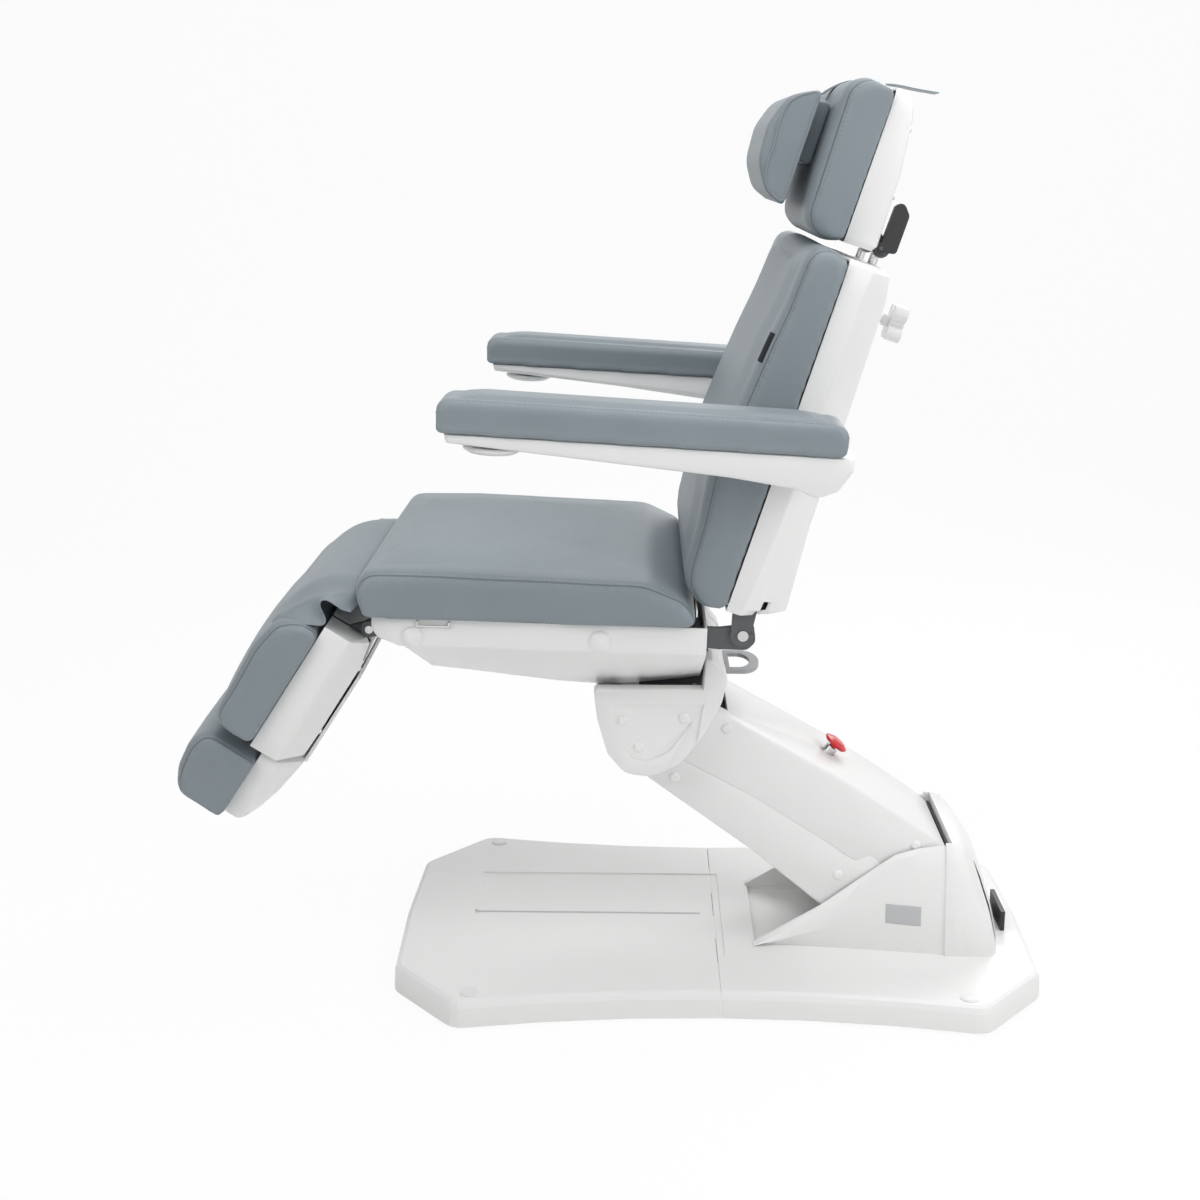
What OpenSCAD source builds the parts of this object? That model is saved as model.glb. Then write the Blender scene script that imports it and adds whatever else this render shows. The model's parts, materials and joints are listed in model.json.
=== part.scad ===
// Powered procedure chair: floor base, lift arm, tilting seat, reclining back with headrest,
// leg rest with sliding foot rest, and two armrests.
// The chair faces -Y, and the seat, back and leg rest are drawn lying flat and then turned.

/* [Base] */
// How far the base centre lies behind the middle of the whole chair
origin_back = 157; // [140:1:175]
// Length of the base cover, front to back
base_len = 1028; // [990:1:1070]
// Width across the front and rear ends of the base
base_end_w = 416; // [390:1:440]
// Width across the four outer corners of the base
base_corner_w = 660; // [640:1:690]
// Width of the base at its waist
base_waist_w = 576; // [550:1:600]
// Length of each cut corner, front to back
base_cut = 106; // [95:1:118]
// Height of the deck above the floor
deck_h = 47; // [46:1:52]
// Gap between the floor and the edge of the cover
base_lift = 4; // [3:0.5:6]
// Wall of the moulded covers
wall = 3.5; // [3:0.1:4]
// Distance from each end of the base to its levelling feet
foot_end = 130; // [119:1:144]
// Distance from each side of the base to its levelling feet
foot_side = 35; // [30:1:42]

/* [Lift] */
// Lower pivot, behind the base centre
pivot_back = 290; // [284:1:296]
// Lower pivot, above the floor
pivot_h = 160; // [156:1:166]
// Lift arm, pivot to pivot
lift_len = 472; // [460:1:490]
// Slope of the lift arm at rest
lift_angle = 36.4; // [35:0.1:38]
// Width over the lift arm covers
arm_cover_w = 216; // [206:1:220]
// Radius of the arm's rear end about the lower pivot
arm_end_r = 98; // [94:1:99]
// Diameter of the main pivot pins
main_pin_d = 30; // [26:1:32]
// Diameter of the red stop button
stop_d = 42; // [38:1:46]
// Travel of the stop button
stop_travel = 4; // [3:0.5:5]

/* [Housing] */
// Inside width of the pivot housing
housing_gap = 226; // [224:1:232]
// Width over the housing's ridge
housing_w = 268; // [264:1:280]
// Height of the housing's ridge above the floor
housing_h = 225; // [220:1:232]

/* [Seat support] */
// Width over the support head's cheeks
head_w = 330; // [322:1:340]
// Back hinge, behind the upper lift pivot
hinge_back = 117; // [113:1:121]
// Back hinge, above the upper lift pivot
hinge_rise = 172; // [170:1:178]

/* [Seat] */
// Backward slope of the seat at rest
seat_slope = 1.6; // [1:0.1:2.2]
// Width of the seat cushion
seat_w = 616; // [600:1:630]
// Length of the seat cushion
seat_len = 514; // [508:1:516]
// Thickness of the seat cushion at its edge
seat_th = 73; // [68:1:78]
// Extra height of the seat cushion at its crown
seat_crown = 12; // [8:1:16]
// Width of the seat pan
pan_w = 582; // [574:1:590]
// Depth of the belly below the back hinge
belly_drop = 132; // [128:1:134]

/* [Back] */
// Angle of the back above the flat position
back_angle = 72; // [70:0.5:74]
// Length of the back cushion
back_len = 532; // [522:1:534]
// Width of the back cushion
back_w = 602; // [590:1:610]
// Thickness of the back cushion at its top
back_th = 68; // [64:1:72]
// Extra thickness of the lumbar part
lumbar = 24; // [18:1:28]
// Width of the back shell
shell_w = 592; // [580:1:600]

/* [Headrest] */
// Length of the headrest cushion
head_len = 224; // [215:1:232]
// Width of the headrest cushion
head_pad_w = 400; // [385:1:410]
// Thickness of the headrest cushion
head_th = 70; // [66:1:74]
// Diameter of the two headrest rods
rod_d = 14; // [12:1:16]
// Distance between the headrest rods
rod_gap = 150; // [140:1:160]
// Height adjustment of the headrest
head_travel = 100; // [90:1:105]

/* [Leg and foot rest] */
// Slope of the leg rest below level
leg_angle = 57; // [55:0.5:59]
// Length of the leg cushion
leg_len = 214; // [208:1:216]
// Width of the leg cushion
leg_w = 600; // [590:1:606]
// Thickness of the leg cushion
leg_th = 72; // [68:1:76]
// Width of the leg shell
leg_shell_w = 570; // [560:1:580]
// Length of the foot cushion
foot_len = 104; // [98:1:110]
// Width of the foot shell
foot_shell_w = 504; // [496:1:510]
// Travel of the foot rest
foot_travel = 150; // [120:1:155]

/* [Armrests] */
// Length of the armrest pads
pad_len = 556; // [540:1:570]
// Width of the armrest pads
pad_w = 108; // [100:1:112]
// Thickness of the armrest pads
pad_th = 48; // [44:1:52]
// Distance between the armrests
arm_gap = 668; // [662:1:680]
// Slope of the armrests at rest
arm_slope = 3.4; // [3:0.1:4]

/* [Clearances] */
// Gap between a cushion and what it lies on
soft_gap = 0.3; // [0.3:0.1:0.5]
// Radial clearance of a pin in its bore
pin_gap = 0.05; // [0.04:0.01:0.1]
// Side clearance of sliding and turning pieces
run_gap = 1; // [0.8:0.1:1.5]

/* [Hidden] */
$fn = 48;
eps = 0.01;
vinyl = [0.56, 0.60, 0.64];
white = [0.93, 0.94, 0.94];
pale = [0.86, 0.87, 0.88];
steel = [0.33, 0.34, 0.35];
bright = [0.78, 0.79, 0.80];
black = [0.10, 0.10, 0.11];

// Places worked out from the driving sizes
base_y = origin_back;
low = [base_y + pivot_back, pivot_h];
up = low + lift_len * [-cos(lift_angle), sin(lift_angle)];
hinge = up + [hinge_back, hinge_rise];
link_off = [19, 30];
tilt_at = up + [42, 105];
leg_hinge = [-(seat_len + 43), -19.5];

// Rounded outlines: corners are [a, b, radius], n is the number of steps in each arc
function unit(v) = v / norm(v);
function arc_corner(p, q, s, r, n) =
  let (u = unit(p - q), v = unit(s - q), ang = acos(max(-1, min(1, u * v))))
  r <= 0 || ang > 179 ? [q] :
  let (c = q + unit(u + v) * r / sin(ang / 2), f = 180 - ang,
       a = q + u * r / tan(ang / 2) - c, b = q + v * r / tan(ang / 2) - c)
  [for (i = [0:n]) c + (a * sin(f * (1 - i / n)) + b * sin(f * i / n)) / sin(f)];
function flat2(c) = [c[0], c[1]];
function rounded(cs, n = 3) = [
  for (i = [0:len(cs) - 1])
    for (p = arc_corner(flat2(cs[(i + len(cs) - 1) % len(cs)]), flat2(cs[i]),
                        flat2(cs[(i + 1) % len(cs)]), cs[i][2], n)) p
];
function turned(pts) = [for (i = [len(pts) - 1:-1:0]) pts[i]];
// Corners moved inwards by d, with their radii kept in step
function shrink(cs, d) = let (p = inset([for (c = cs) flat2(c)], d))
  [for (i = [0:len(cs) - 1]) [p[i][0], p[i][1], max(cs[i][2] - d, 6)]];
// Moves each point of a counter-clockwise outline inwards by d
function inset(pts, d) = [
  for (i = [0:len(pts) - 1])
    let (k = len(pts), p = pts[(i + k - 1) % k], q = pts[i], s = pts[(i + 1) % k],
         e = unit(q - p), f = unit(s - q), m = [-e[1], e[0]], g = [-f[1], f[0]])
    q + d * (m + g) / (1 + m * g)
];
// Solid skin through rings of equal count, each ring counter-clockwise seen from the last one
module loft(rings) {
  k = len(rings[0]);
  m = len(rings);
  polyhedron(
    points = [for (r = rings) for (p = r) p],
    faces = concat(
      [[for (i = [0:k - 1]) i]],
      [for (j = [0:m - 2]) for (i = [0:k - 1])
        each [[j * k + i, (j + 1) * k + i, j * k + (i + 1) % k],
              [j * k + (i + 1) % k, (j + 1) * k + i, (j + 1) * k + (i + 1) % k]]],
      [[for (i = [0:k - 1]) (m - 1) * k + k - 1 - i]]
    )
  );
}
// Rings of an outline in the Y-Z plane at a list of [x, inset] stations, from -X to +X
function yz_rings(pts, stations) = [
  for (s = stations) [for (p = inset(pts, s[1])) [s[0], p[0], p[1]]]
];
function soft_stations(hw, r, n = 3) = concat(
  [for (i = [0:n]) [-hw + r * (1 - cos(90 * i / n)), r * (1 - sin(90 * i / n))]],
  [for (i = [n:-1:0]) [hw - r * (1 - cos(90 * i / n)), r * (1 - sin(90 * i / n))]]
);
// Block with its edges along X rounded at both ends
module x_block(pts, hw, r, n = 3) loft(yz_rings(pts, soft_stations(hw, r, n)));
// Straight plate or block between two X values
module x_plate(pts, x0, x1)
  translate([x0, 0, 0]) rotate([90, 0, 90]) linear_extrude(x1 - x0) polygon(pts);
module x_pin(y, z, d, x0, x1)
  translate([x0, y, z]) rotate([0, 90, 0]) cylinder(d = d, h = x1 - x0);
module both() { children(); mirror([1, 0, 0]) children(); }

// Soft cushion: side outline in Y-Z, half width, edge radius, crown and drawn-in sides
function cushion_ring(pts, x, d, hw, lo, hi, ymid, span, crown, draw) =
  let (share = 1 - pow(x / hw, 2)) [
    for (p = pts)
      let (lift = max(0, (p[1] - lo) / (hi - lo)),
           y = ymid + (p[0] - ymid) * (1 - 1.6 * d * (0.15 + 0.85 * lift) / span),
           along = max(0, 1 - pow(2 * (y - ymid) / span, 2)))
      [x - draw * along * pow(x / hw, 3), y,
       p[1] + lift * (crown * share * (0.1 + 0.9 * along) - d)]
  ];
module cushion(pts, hw, r, crown, draw, mids = 3) {
  zs = [for (p = pts) p[1]];
  ys = [for (p = pts) p[0]];
  lo = min(zs);
  hi = max(zs);
  ymid = (min(ys) + max(ys)) / 2;
  span = max(ys) - min(ys);
  ends = soft_stations(hw, r, 3);
  half = len(ends) / 2;
  inner = hw - r;
  stations = concat(
    [for (i = [0:half - 1]) ends[i]],
    [for (i = [1:mids]) [-inner + 2 * inner * i / (mids + 1), 0]],
    [for (i = [half:2 * half - 1]) ends[i]]
  );
  loft([for (s = stations)
    cushion_ring(pts, s[0], s[1], hw, lo, hi, ymid, span, crown, draw)]);
}

// Moulded trough open at the top: stations are [y, half width, rim z, fold z, back half, back z]
function trough_ring(s, d, rf, rb) =
  let (pts = inset(rounded([[-s[1], s[2], 0], [-s[1], s[3], rf], [-s[4], s[5], rb],
                            [s[4], s[5], rb], [s[1], s[3], rf], [s[1], s[2], 0]], 2), d),
       k = len(pts))
  [for (i = [0:k - 1]) [pts[i][0], s[0], i == 0 || i == k - 1 ? s[2] : pts[i][1]]];
module trough(rising, rf, rb, t) {
  stations = turned(rising);
  m = len(stations);
  outer = [for (s = stations) trough_ring(s, 0, rf, rb)];
  inner = [for (j = [0:m - 1])
    let (s = stations[j], y = s[0] - (j == 0 ? t : 0) + (j == m - 1 ? t : 0))
    trough_ring([y, s[1], s[2], s[3], s[4], s[5]], t, rf, rb)];
  k = len(outer[0]);
  o = m * k;
  polyhedron(
    points = concat([for (r = outer) for (p = r) p], [for (r = inner) for (p = r) p]),
    faces = concat(
      [for (j = [0:m - 2]) for (i = [0:k - 2])
        each [[j * k + i, (j + 1) * k + i, j * k + i + 1],
              [j * k + i + 1, (j + 1) * k + i, (j + 1) * k + i + 1],
              [o + j * k + i, o + j * k + i + 1, o + (j + 1) * k + i],
              [o + j * k + i + 1, o + (j + 1) * k + i + 1, o + (j + 1) * k + i]]],
      [for (j = [0:m - 2])
        each [[j * k, o + j * k, o + (j + 1) * k], [j * k, o + (j + 1) * k, (j + 1) * k],
              [j * k + k - 1, (j + 1) * k + k - 1, o + (j + 1) * k + k - 1],
              [j * k + k - 1, o + (j + 1) * k + k - 1, o + j * k + k - 1]]],
      [[for (i = [0:k - 1]) i], [for (i = [0:k - 1]) o + k - 1 - i],
       [0, k - 1, o + k - 1, o],
       [for (i = [0:k - 1]) (m - 1) * k + k - 1 - i], [for (i = [0:k - 1]) o + (m - 1) * k + i],
       [(m - 1) * k, o + (m - 1) * k, o + m * k - 1, m * k - 1]]
    )
  );
}

// Frames of the parts that lie flat before they are turned
module at_base() translate([0, base_y, 0]) children();
module at_arm() translate([0, low[0], low[1]]) rotate([lift_angle, 0, 180]) children();
module at_seat() translate([0, hinge[0], hinge[1]]) rotate([-seat_slope, 0, 0]) children();
module at_back() translate([0, hinge[0], hinge[1]]) rotate([back_angle, 0, 0]) children();
module at_leg() at_seat() translate([0, leg_hinge[0], leg_hinge[1]])
  rotate([leg_angle + seat_slope, 0, 0]) children();

// Base
foot_span = base_len - 2 * foot_end;
foot_track = base_corner_w - 2 * foot_side;
rail_z = 8;
rail_h = 24;
rail_x = 90;
rail_w = 40;
plate_h = 3.5;
ear_x = 60;
ear_t = 12;
well_w = arm_cover_w + 4;
function base_side(sign) = [
  for (i = [-3:3])
    [sign * (base_waist_w / 2 + (base_corner_w - base_waist_w) / 2 * pow(i / 3, 2)),
     sign * i / 3 * (base_len / 2 - base_cut), abs(i) == 3 ? 34 : 0]
];
base_pts = rounded(concat(
  [[base_end_w / 2, -base_len / 2, 40]], base_side(1),
  [[base_end_w / 2, base_len / 2, 40], [0, base_len / 2 + 6, 0], [-base_end_w / 2, base_len / 2, 40]],
  base_side(-1), [[-base_end_w / 2, -base_len / 2, 40], [0, -base_len / 2 - 6, 0]]
), 3);
module base_skin(d, z0, top, bevel) loft([
  for (s = [[z0, 0], [z0 + 3, 0], [top - bevel * 1.5, 1.5], [top - bevel * 0.4, 1.5 + bevel * 0.35],
            [top, 1.5 + bevel * 1.2]])
    [for (p = inset(base_pts, d + s[1])) [p[0], p[1], s[0]]]
]);
seam_y = 4;
tray_x = 160;
tray_y0 = -402;
tray_y1 = 16;
tray_deep = 2.5;
well_deep = 7.5;
well_y0 = pivot_back - 222;
well_y1 = pivot_back + 112;
module base_cover() {
  difference() {
    base_skin(0, base_lift - 1, deck_h, 8);
    difference() {
      base_skin(wall, base_lift - 2, deck_h - wall - tray_deep, 8);
      translate([-housing_gap / 2 - wall, well_y0 - wall, deck_h - well_deep - wall])
        cube([housing_gap + 2 * wall, well_y1 - well_y0 + 2 * wall, well_deep + 1]);
    }
    translate([-tray_x, tray_y0, deck_h - tray_deep])
      cube([2 * tray_x, tray_y1 - tray_y0, tray_deep + 1]);
    translate([-2, tray_y0 - 3 + 20, deck_h - tray_deep - 1])
      cube([4, tray_y1 - tray_y0 - 54, 3]);
    translate([-housing_gap / 2, well_y0, deck_h - well_deep])
      cube([housing_gap, well_y1 - well_y0, well_deep + 1]);
    // Slots for the ears of the pivot and of the actuator
    both() translate([ear_x - 2, pivot_back - 100, 20]) cube([ear_t + 4, 156, 30]);
    both() translate([24, pivot_back - 94, 20]) cube([12, 68, 30]);
  }
}
module base_cover_front() color(white) at_base() intersection() {
  base_cover();
  translate([-base_corner_w, -base_len, base_lift])
    cube([2 * base_corner_w, base_len + seam_y - 0.4, 2 * deck_h]);
}
module base_cover_rear() color(white) at_base() intersection() {
  base_cover();
  translate([-base_corner_w, seam_y + 0.4, base_lift])
    cube([2 * base_corner_w, base_len, 2 * deck_h]);
}
module base_plug_caps() color(pale) at_base()
  for (x = [-1, 1], y = [-1, 1])
    translate([x * foot_track / 2, y * foot_span / 2, deck_h]) {
      cylinder(d = 30, h = 1.5);
      translate([0, 0, 1.5]) cylinder(d = 24, h = 0.7);
    }
module levelling_feet() color(black) at_base()
  for (x = [-1, 1], y = [-1, 1])
    translate([x * foot_track / 2, y * foot_span / 2, 0]) {
      cylinder(d = 40, h = rail_z);
      translate([0, 0, rail_z]) cylinder(d = 12, h = rail_h + 2);
    }
// Square tube along Y or X, open at its ends
module tube_y(x, y0, y1, z, w, h, t = 3) translate([x - w / 2, y0, z]) difference() {
  cube([w, y1 - y0, h]);
  translate([t, -1, t]) cube([w - 2 * t, y1 - y0 + 2, h - 2 * t]);
}
module tube_x(y, x0, x1, z, w, h, t = 3) translate([x0, y - w / 2, z]) difference() {
  cube([x1 - x0, w, h]);
  translate([-1, t, t]) cube([x1 - x0 + 2, w - 2 * t, h - 2 * t]);
}
module base_ear(x) difference() {
  union() {
    x_plate([[-92, rail_z + rail_h + plate_h - pivot_h], [48, rail_z + rail_h + plate_h - pivot_h],
             [40, -10], [-36, -10]], x, x + ear_t);
    x_pin(0, 0, 76, x, x + ear_t);
    x_pin(link_off[0], link_off[1], 40, x, x + ear_t);
    x_plate([[36, 6], [44, 50], [14, 58], [-34, 16]], x, x + ear_t);
  }
  x_pin(0, 0, main_pin_d + 0.04, x - 1, x + ear_t + 1);
}
module base_frame() color(steel) at_base() {
  rail_end = foot_span / 2 - rail_w / 2;
  difference() {
    union() {
      for (s = [-1, 1]) {
        tube_y(s * rail_x, -rail_end, rail_end, rail_z, rail_w, rail_h);
        translate([0, s * foot_span / 2, 0])
          tube_x(0, -foot_track / 2 - 12, foot_track / 2 + 12, rail_z, rail_w, rail_h);
      }
      translate([-well_w / 2 + 3, pivot_back - 96, rail_z + rail_h])
        cube([well_w - 6, 150, plate_h]);
      translate([0, pivot_back, pivot_h]) {
        base_ear(ear_x);
        base_ear(-ear_x - ear_t);
        x_pin(link_off[0], link_off[1], 18, -ear_x - eps, ear_x + eps);
      }
      for (x = [-34, 26])
        translate([0, pivot_back, 0])
          x_plate([[-90, rail_z + rail_h + plate_h - eps], [-30, rail_z + rail_h + plate_h - eps],
                   [-46, 88], [-76, 88]], x, x + 8);
    }
    for (x = [-1, 1], y = [-1, 1])
      translate([x * foot_track / 2, y * foot_span / 2, rail_z - 1])
        cylinder(d = 12.6, h = rail_h + 2);
  }
}
module lower_pivot_pins() color(bright) at_base() translate([0, pivot_back, pivot_h])
  both() x_pin(0, 0, main_pin_d, ear_x - 4, ear_x + ear_t + 16);
// Housing round the lower pivot: two cheeks and a rear wall, standing on the deck
// Rows are [y, width at the foot, ridge height, height of its outer edge], measured from the base
cheek_rows = [[64, 117, 2, 1], [108, 120, 29, 13], [172, 126, 68, 31], [231, 132, 113, 70],
              [268, 137, 141, 95], [290, 140, 157, 111], [325, 144, 168, 130], [360, 150, 173, 138],
              [400, 158, 174, 139]];
housing_share = (housing_h - deck_h) / 178;
function cheek_ring(row, t) = let (g = housing_gap / 2, e = (housing_w - 268) / 2) [
  [g + t, row[0], deck_h - t], [row[1] + e - 1.4 * t, row[0], deck_h - t],
  [g + 15 + e - t, row[0], deck_h + max(1, row[3] * housing_share - 1.5 * t)],
  [g + 7 - t * 0.3, row[0], deck_h + max(1.5, (row[2] - 7) * housing_share - 2 * t)],
  [g + t, row[0], deck_h + max(2, row[2] * housing_share - 2.4 * t)]
];
module housing_cheek() difference() {
  loft([for (r = turned(cheek_rows)) cheek_ring(r, 0)]);
  loft([for (i = [7:-1:3]) cheek_ring(cheek_rows[i], wall)]);
}
// Rear block, rounded in plan: rows are [height share, side y, middle y, half width]
block_rows = [[0, 452, 476, 156], [0.32, 441, 461, 145], [0.63, 424, 443, 134],
              [0.84, 412, 427, 128], [0.95, 402, 413, 121], [1, 390, 398, 115]];
function block_ring(r) = let (z = deck_h + r[0] * (housing_h - deck_h), x = r[3] + (housing_w - 268) / 2) [
  [-x, 370, z], [x, 370, z], [x, r[1] - 14, z], [x - 5, r[1] - 4, z], [x - 16, r[1] + 3, z],
  [60, r[2] - 4, z], [0, r[2], z], [-60, r[2] - 4, z],
  [-x + 16, r[1] + 3, z], [-x + 5, r[1] - 4, z], [-x, r[1] - 14, z]
];
module lift_housing() color(white) at_base() difference() {
  union() {
    both() housing_cheek();
    loft([for (r = block_rows) block_ring(r)]);
  }
  translate([0, pivot_back, pivot_h])
    x_pin(0, 0, 2 * arm_end_r + 8, -housing_gap / 2, housing_gap / 2);
  translate([0, pivot_back, 0])
    x_plate([[70, deck_h - 1], [174, deck_h - 1], [162, 104], [143, 158], [128, 192], [112, 206],
             [90, 208], [60, 120]], -housing_gap / 2 + 4, housing_gap / 2 - 4);
  translate([0, pivot_back, 0])
    x_plate([[72, deck_h - 1], [95, deck_h - 1], [95, 120], [90, housing_h + 10],
             [72, housing_h + 10]], -housing_gap / 2, housing_gap / 2);
}
module power_inlet() color(black) at_base() translate([-30, 478, deck_h])
  difference() {
    cube([90, 7, 34]);
    translate([22, 3, 8]) cube([46, 5, 20]);
  }
module slot_lining() color(black) at_base() translate([0, pivot_back, pivot_h])
  difference() {
    x_pin(0, 0, 2 * (arm_end_r + 4 - soft_gap), -housing_gap / 2 + 1, housing_gap / 2 - 1);
    x_pin(0, 0, 2 * arm_end_r + 3, -housing_gap, housing_gap);
    x_plate([[0, 200], [-200, 200], [-200, -200], [200, -200], [200, -70], [60, -70], [60, 49],
             [200, 49], [200, 200]], -200, 200);
  }
box_hw = rail_x - rail_w / 2 - soft_gap;
module control_box() color(black) at_base()
  translate([-box_hw, -220, rail_z + 2]) difference() {
    cube([2 * box_hw, 180, 28]);
    translate([3, 3, 3]) cube([2 * box_hw - 6, 174, 22]);
  }

// Lift arm, drawn with +Y from the lower pivot towards the upper one and +Z on its upper side
arm_hw = arm_cover_w / 2;
split = [[lift_len + 80, -56], [388, -41], [270, -24], [198, -19], [125, -14], [84, -14], [69, -12],
         [63, -1], [57, 8], [45, 11], [32, 8], [-110, 8]];
arm_pts = rounded([
  [lift_len + 34, 24, 24], [lift_len - 50, 54, 30], [lift_len - 183, 71, 0], [178, 85, 0],
  [94, 91, 0], [7, 95, 0], [-34, 91.9, 0], [-64, 74.2, 0], [-88, 43.1, 0], [-97, 13.8, 0],
  [-96.8, -15.3, 0], [-89, -41, 0], [-62, -76, 0], [-20, -92, 0], [30, -103, 10],
  [62, -109, 14], [131, -105, 0], [214, -100, 0], [324, -100, 0], [lift_len - 50, -101, 24],
  [lift_len + 24, -78, 24], [lift_len + 66, -40, 20]
], 2);
module arm_shell() difference() {
  x_block(arm_pts, arm_hw, 7, 2);
  x_plate(inset(arm_pts, wall), -arm_hw + wall, arm_hw - wall);
  // Open round both pivots, where the ears of the base and of the head pass
  translate([-arm_hw + wall + 0.5, lift_len - 50, -200])
    cube([2 * (arm_hw - wall - 0.5), 300, 400]);
  translate([-ear_x - ear_t - 4, lift_len - 90, 0]) cube([2 * (ear_x + ear_t + 4), 300, 200]);
  x_plate([[-120, 2], [-120, -200], [62, -200], [62, -84], [-40, -60], [-70, 2]],
          -arm_hw + wall + 0.5, arm_hw - wall - 0.5);
  x_pin(0, 0, main_pin_d + 4, -arm_hw + 20, arm_hw - 20);
}
module split_region(up_side) {
  pts = up_side
    ? concat([for (p = split) p - [0, 0.2]], [[-140, 300], [lift_len + 80, 300]])
    : concat([for (p = split) p + [0, 0.2]], [[-140, -300], [lift_len + 80, -300]]);
  x_plate(pts, -arm_hw - 5, arm_hw + 5);
}
module arm_cover_upper() color(white) at_arm() difference() {
  arm_shell();
  split_region(false);
  translate([0, 188, 60]) cylinder(d = 28, h = 40);
}
module arm_cover_lower() color(white) at_arm() difference() {
  arm_shell();
  split_region(true);
}
module dome_cap(d, h) {
  cylinder(d = d, h = h * 0.4);
  translate([0, 0, h * 0.4]) cylinder(d1 = d, d2 = d * 0.62, h = h * 0.6);
}
arm_cap_at = [[lift_len - 99, 42], [lift_len - 82, -74], [76, -49], [8, 67]];
module arm_screw_caps() color(white) at_arm() both()
  for (p = arm_cap_at)
    translate([arm_hw, p[0], p[1]]) rotate([0, 90, 0]) dome_cap(17, 3.5);
module lift_arm_frame() color(steel) at_arm() difference() {
  union() {
    both() {
      x_plate(rounded([[0, -38, 30], [lift_len, -36, 30], [lift_len, 36, 30], [0, 38, 30]], 4),
              ear_x + ear_t + 4, ear_x + ear_t + 12);
      x_pin(0, 0, 76, ear_x + ear_t + 4, ear_x + ear_t + 12);
      x_pin(lift_len, 0, 72, ear_x + ear_t + 4, ear_x + ear_t + 12);
      for (a = [130, 330])
        x_pin(a, 0, 24, ear_x + ear_t + 12 - eps, arm_hw - wall - 0.3);
    }
    for (a = [130, 330]) x_pin(a, 0, 30, -ear_x - ear_t - 5, ear_x + ear_t + 5);
    translate([-14, 322, -48]) cube([28, 16, 40]);
  }
  for (a = [0, lift_len])
    x_pin(a, 0, main_pin_d + 2 * pin_gap, -arm_hw, arm_hw);
}
stop_base = 78;
module stop_collar() color(bright) at_arm() translate([0, 188, stop_base]) rotate([3.5, 0, 0])
  difference() {
    union() {
      cylinder(d = 27, h = 7);
      translate([0, 0, 7 - eps]) cylinder(d = 22, h = 10);
    }
    translate([0, 0, -1]) cylinder(d = 12.4, h = 20);
  }
module stop_button() color([0.80, 0.08, 0.08]) at_arm()
  translate([0, 188, stop_base]) rotate([3.5, 0, 0]) {
    translate([0, 0, 1]) cylinder(d = 12, h = 18 + stop_travel);
    translate([0, 0, 17 + stop_travel + 1]) {
      cylinder(d1 = stop_d - 6, d2 = stop_d, h = 3);
      translate([0, 0, 3]) cylinder(d = stop_d, h = 3);
      translate([0, 0, 6]) cylinder(d1 = stop_d, d2 = stop_d - 16, h = 4);
    }
  }
module lift_actuator() color(black) at_arm() {
  translate([0, 321.7, -48]) rotate([90, 0, 0]) {
    cylinder(d = 36, h = 140);
    translate([0, 0, 140 - eps]) cylinder(d = 20, h = 60);
  }
  translate([-20, 242, -86]) cube([40, 72, 24]);
  translate([-13, 110, -60]) cube([26, 22, 24]);
}
module tie_link() color(steel) {
  a = low + link_off;
  b = up + link_off;
  n = 9 * unit([b[1] - a[1], a[0] - b[0]]);
  difference() {
    union() {
      x_plate([a - n, b - n, b + n, a + n], -8, 8);
      for (p = [a, b]) x_pin(p[0], p[1], 34, -10, 10);
    }
    for (p = [a, b]) x_pin(p[0], p[1], 18 + 2 * pin_gap, -20, 20);
  }
}

// Support head, which stays level on the lift arm
bowl = [[-106, 58, 7], [-100, 7, 60], [-84, -50, 30], [-56, -83, 30], [-14, -88, 40], [30, -66, 60],
        [68, -16, 60], [93, 33, 60]];
d_pts = rounded(concat(bowl, [[102, 74, 20], [97, 86, 8], [72, 116, 8], [67, 96, 0], [64, 58, 0]]), 3);
field = concat(bowl, [[97, 58, 7]]);
cheek_in = arm_hw + 6;
belly_rise = 0.555;
// One cheek: full width at its face, rounded towards its outer edge, hollow on the inside
module head_cheek() difference() {
  loft(yz_rings(d_pts, [[cheek_in, 0], [head_w / 2 - 5, 0], [head_w / 2 - 1.5, 1.5], [head_w / 2, 5]]));
  x_plate(inset(d_pts, 6), cheek_in - 1, head_w / 2 - 8);
  x_plate(rounded(shrink(field, 27), 3), head_w / 2 - 3, head_w / 2 + 5);
  translate([0, 63.5, 0]) rotate([90, 0, 0]) linear_extrude(230)
    polygon([[cheek_in - 3, 200], [cheek_in - 3, 34 + (cheek_in - 103) * belly_rise],
             [152, 34 + 52 * belly_rise], [152, 200]]);
}
function strip(line, t) = concat(line, turned([
  for (i = [0:len(line) - 1])
    let (a = line[max(0, i - 1)], b = line[min(len(line) - 1, i + 1)], v = unit(b - a))
    line[i] + t * [-v[1], v[0]]
]));
front_line = [[-103, 38], [-101, 20], [-97.5, 2], [-86, -40], [-78, -56], [-71, -65]];
rear_line = [[93.5, 40], [100.5, 70], [96, 84], [73, 113]];
module head_cover() color(white) translate([0, up[0], up[1]]) {
  both() head_cheek();
  x_plate(strip(front_line, wall), -cheek_in - 2, cheek_in + 2);
  difference() {
    x_plate(strip(rear_line, wall), -cheek_in - 2, cheek_in + 2);
    translate([-62, 60, 46]) cube([124, 60, 16]);
  }
}
lever_at = [81, 53];
head_cap_at = [[-60, 5], [35, 10], [-35, -38]];
module head_screw_caps() color(white) translate([0, up[0], up[1]]) both()
  for (p = head_cap_at)
    translate([head_w / 2 - 3, p[0], p[1]]) rotate([0, 90, 0]) dome_cap(17, 3.5);
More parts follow.
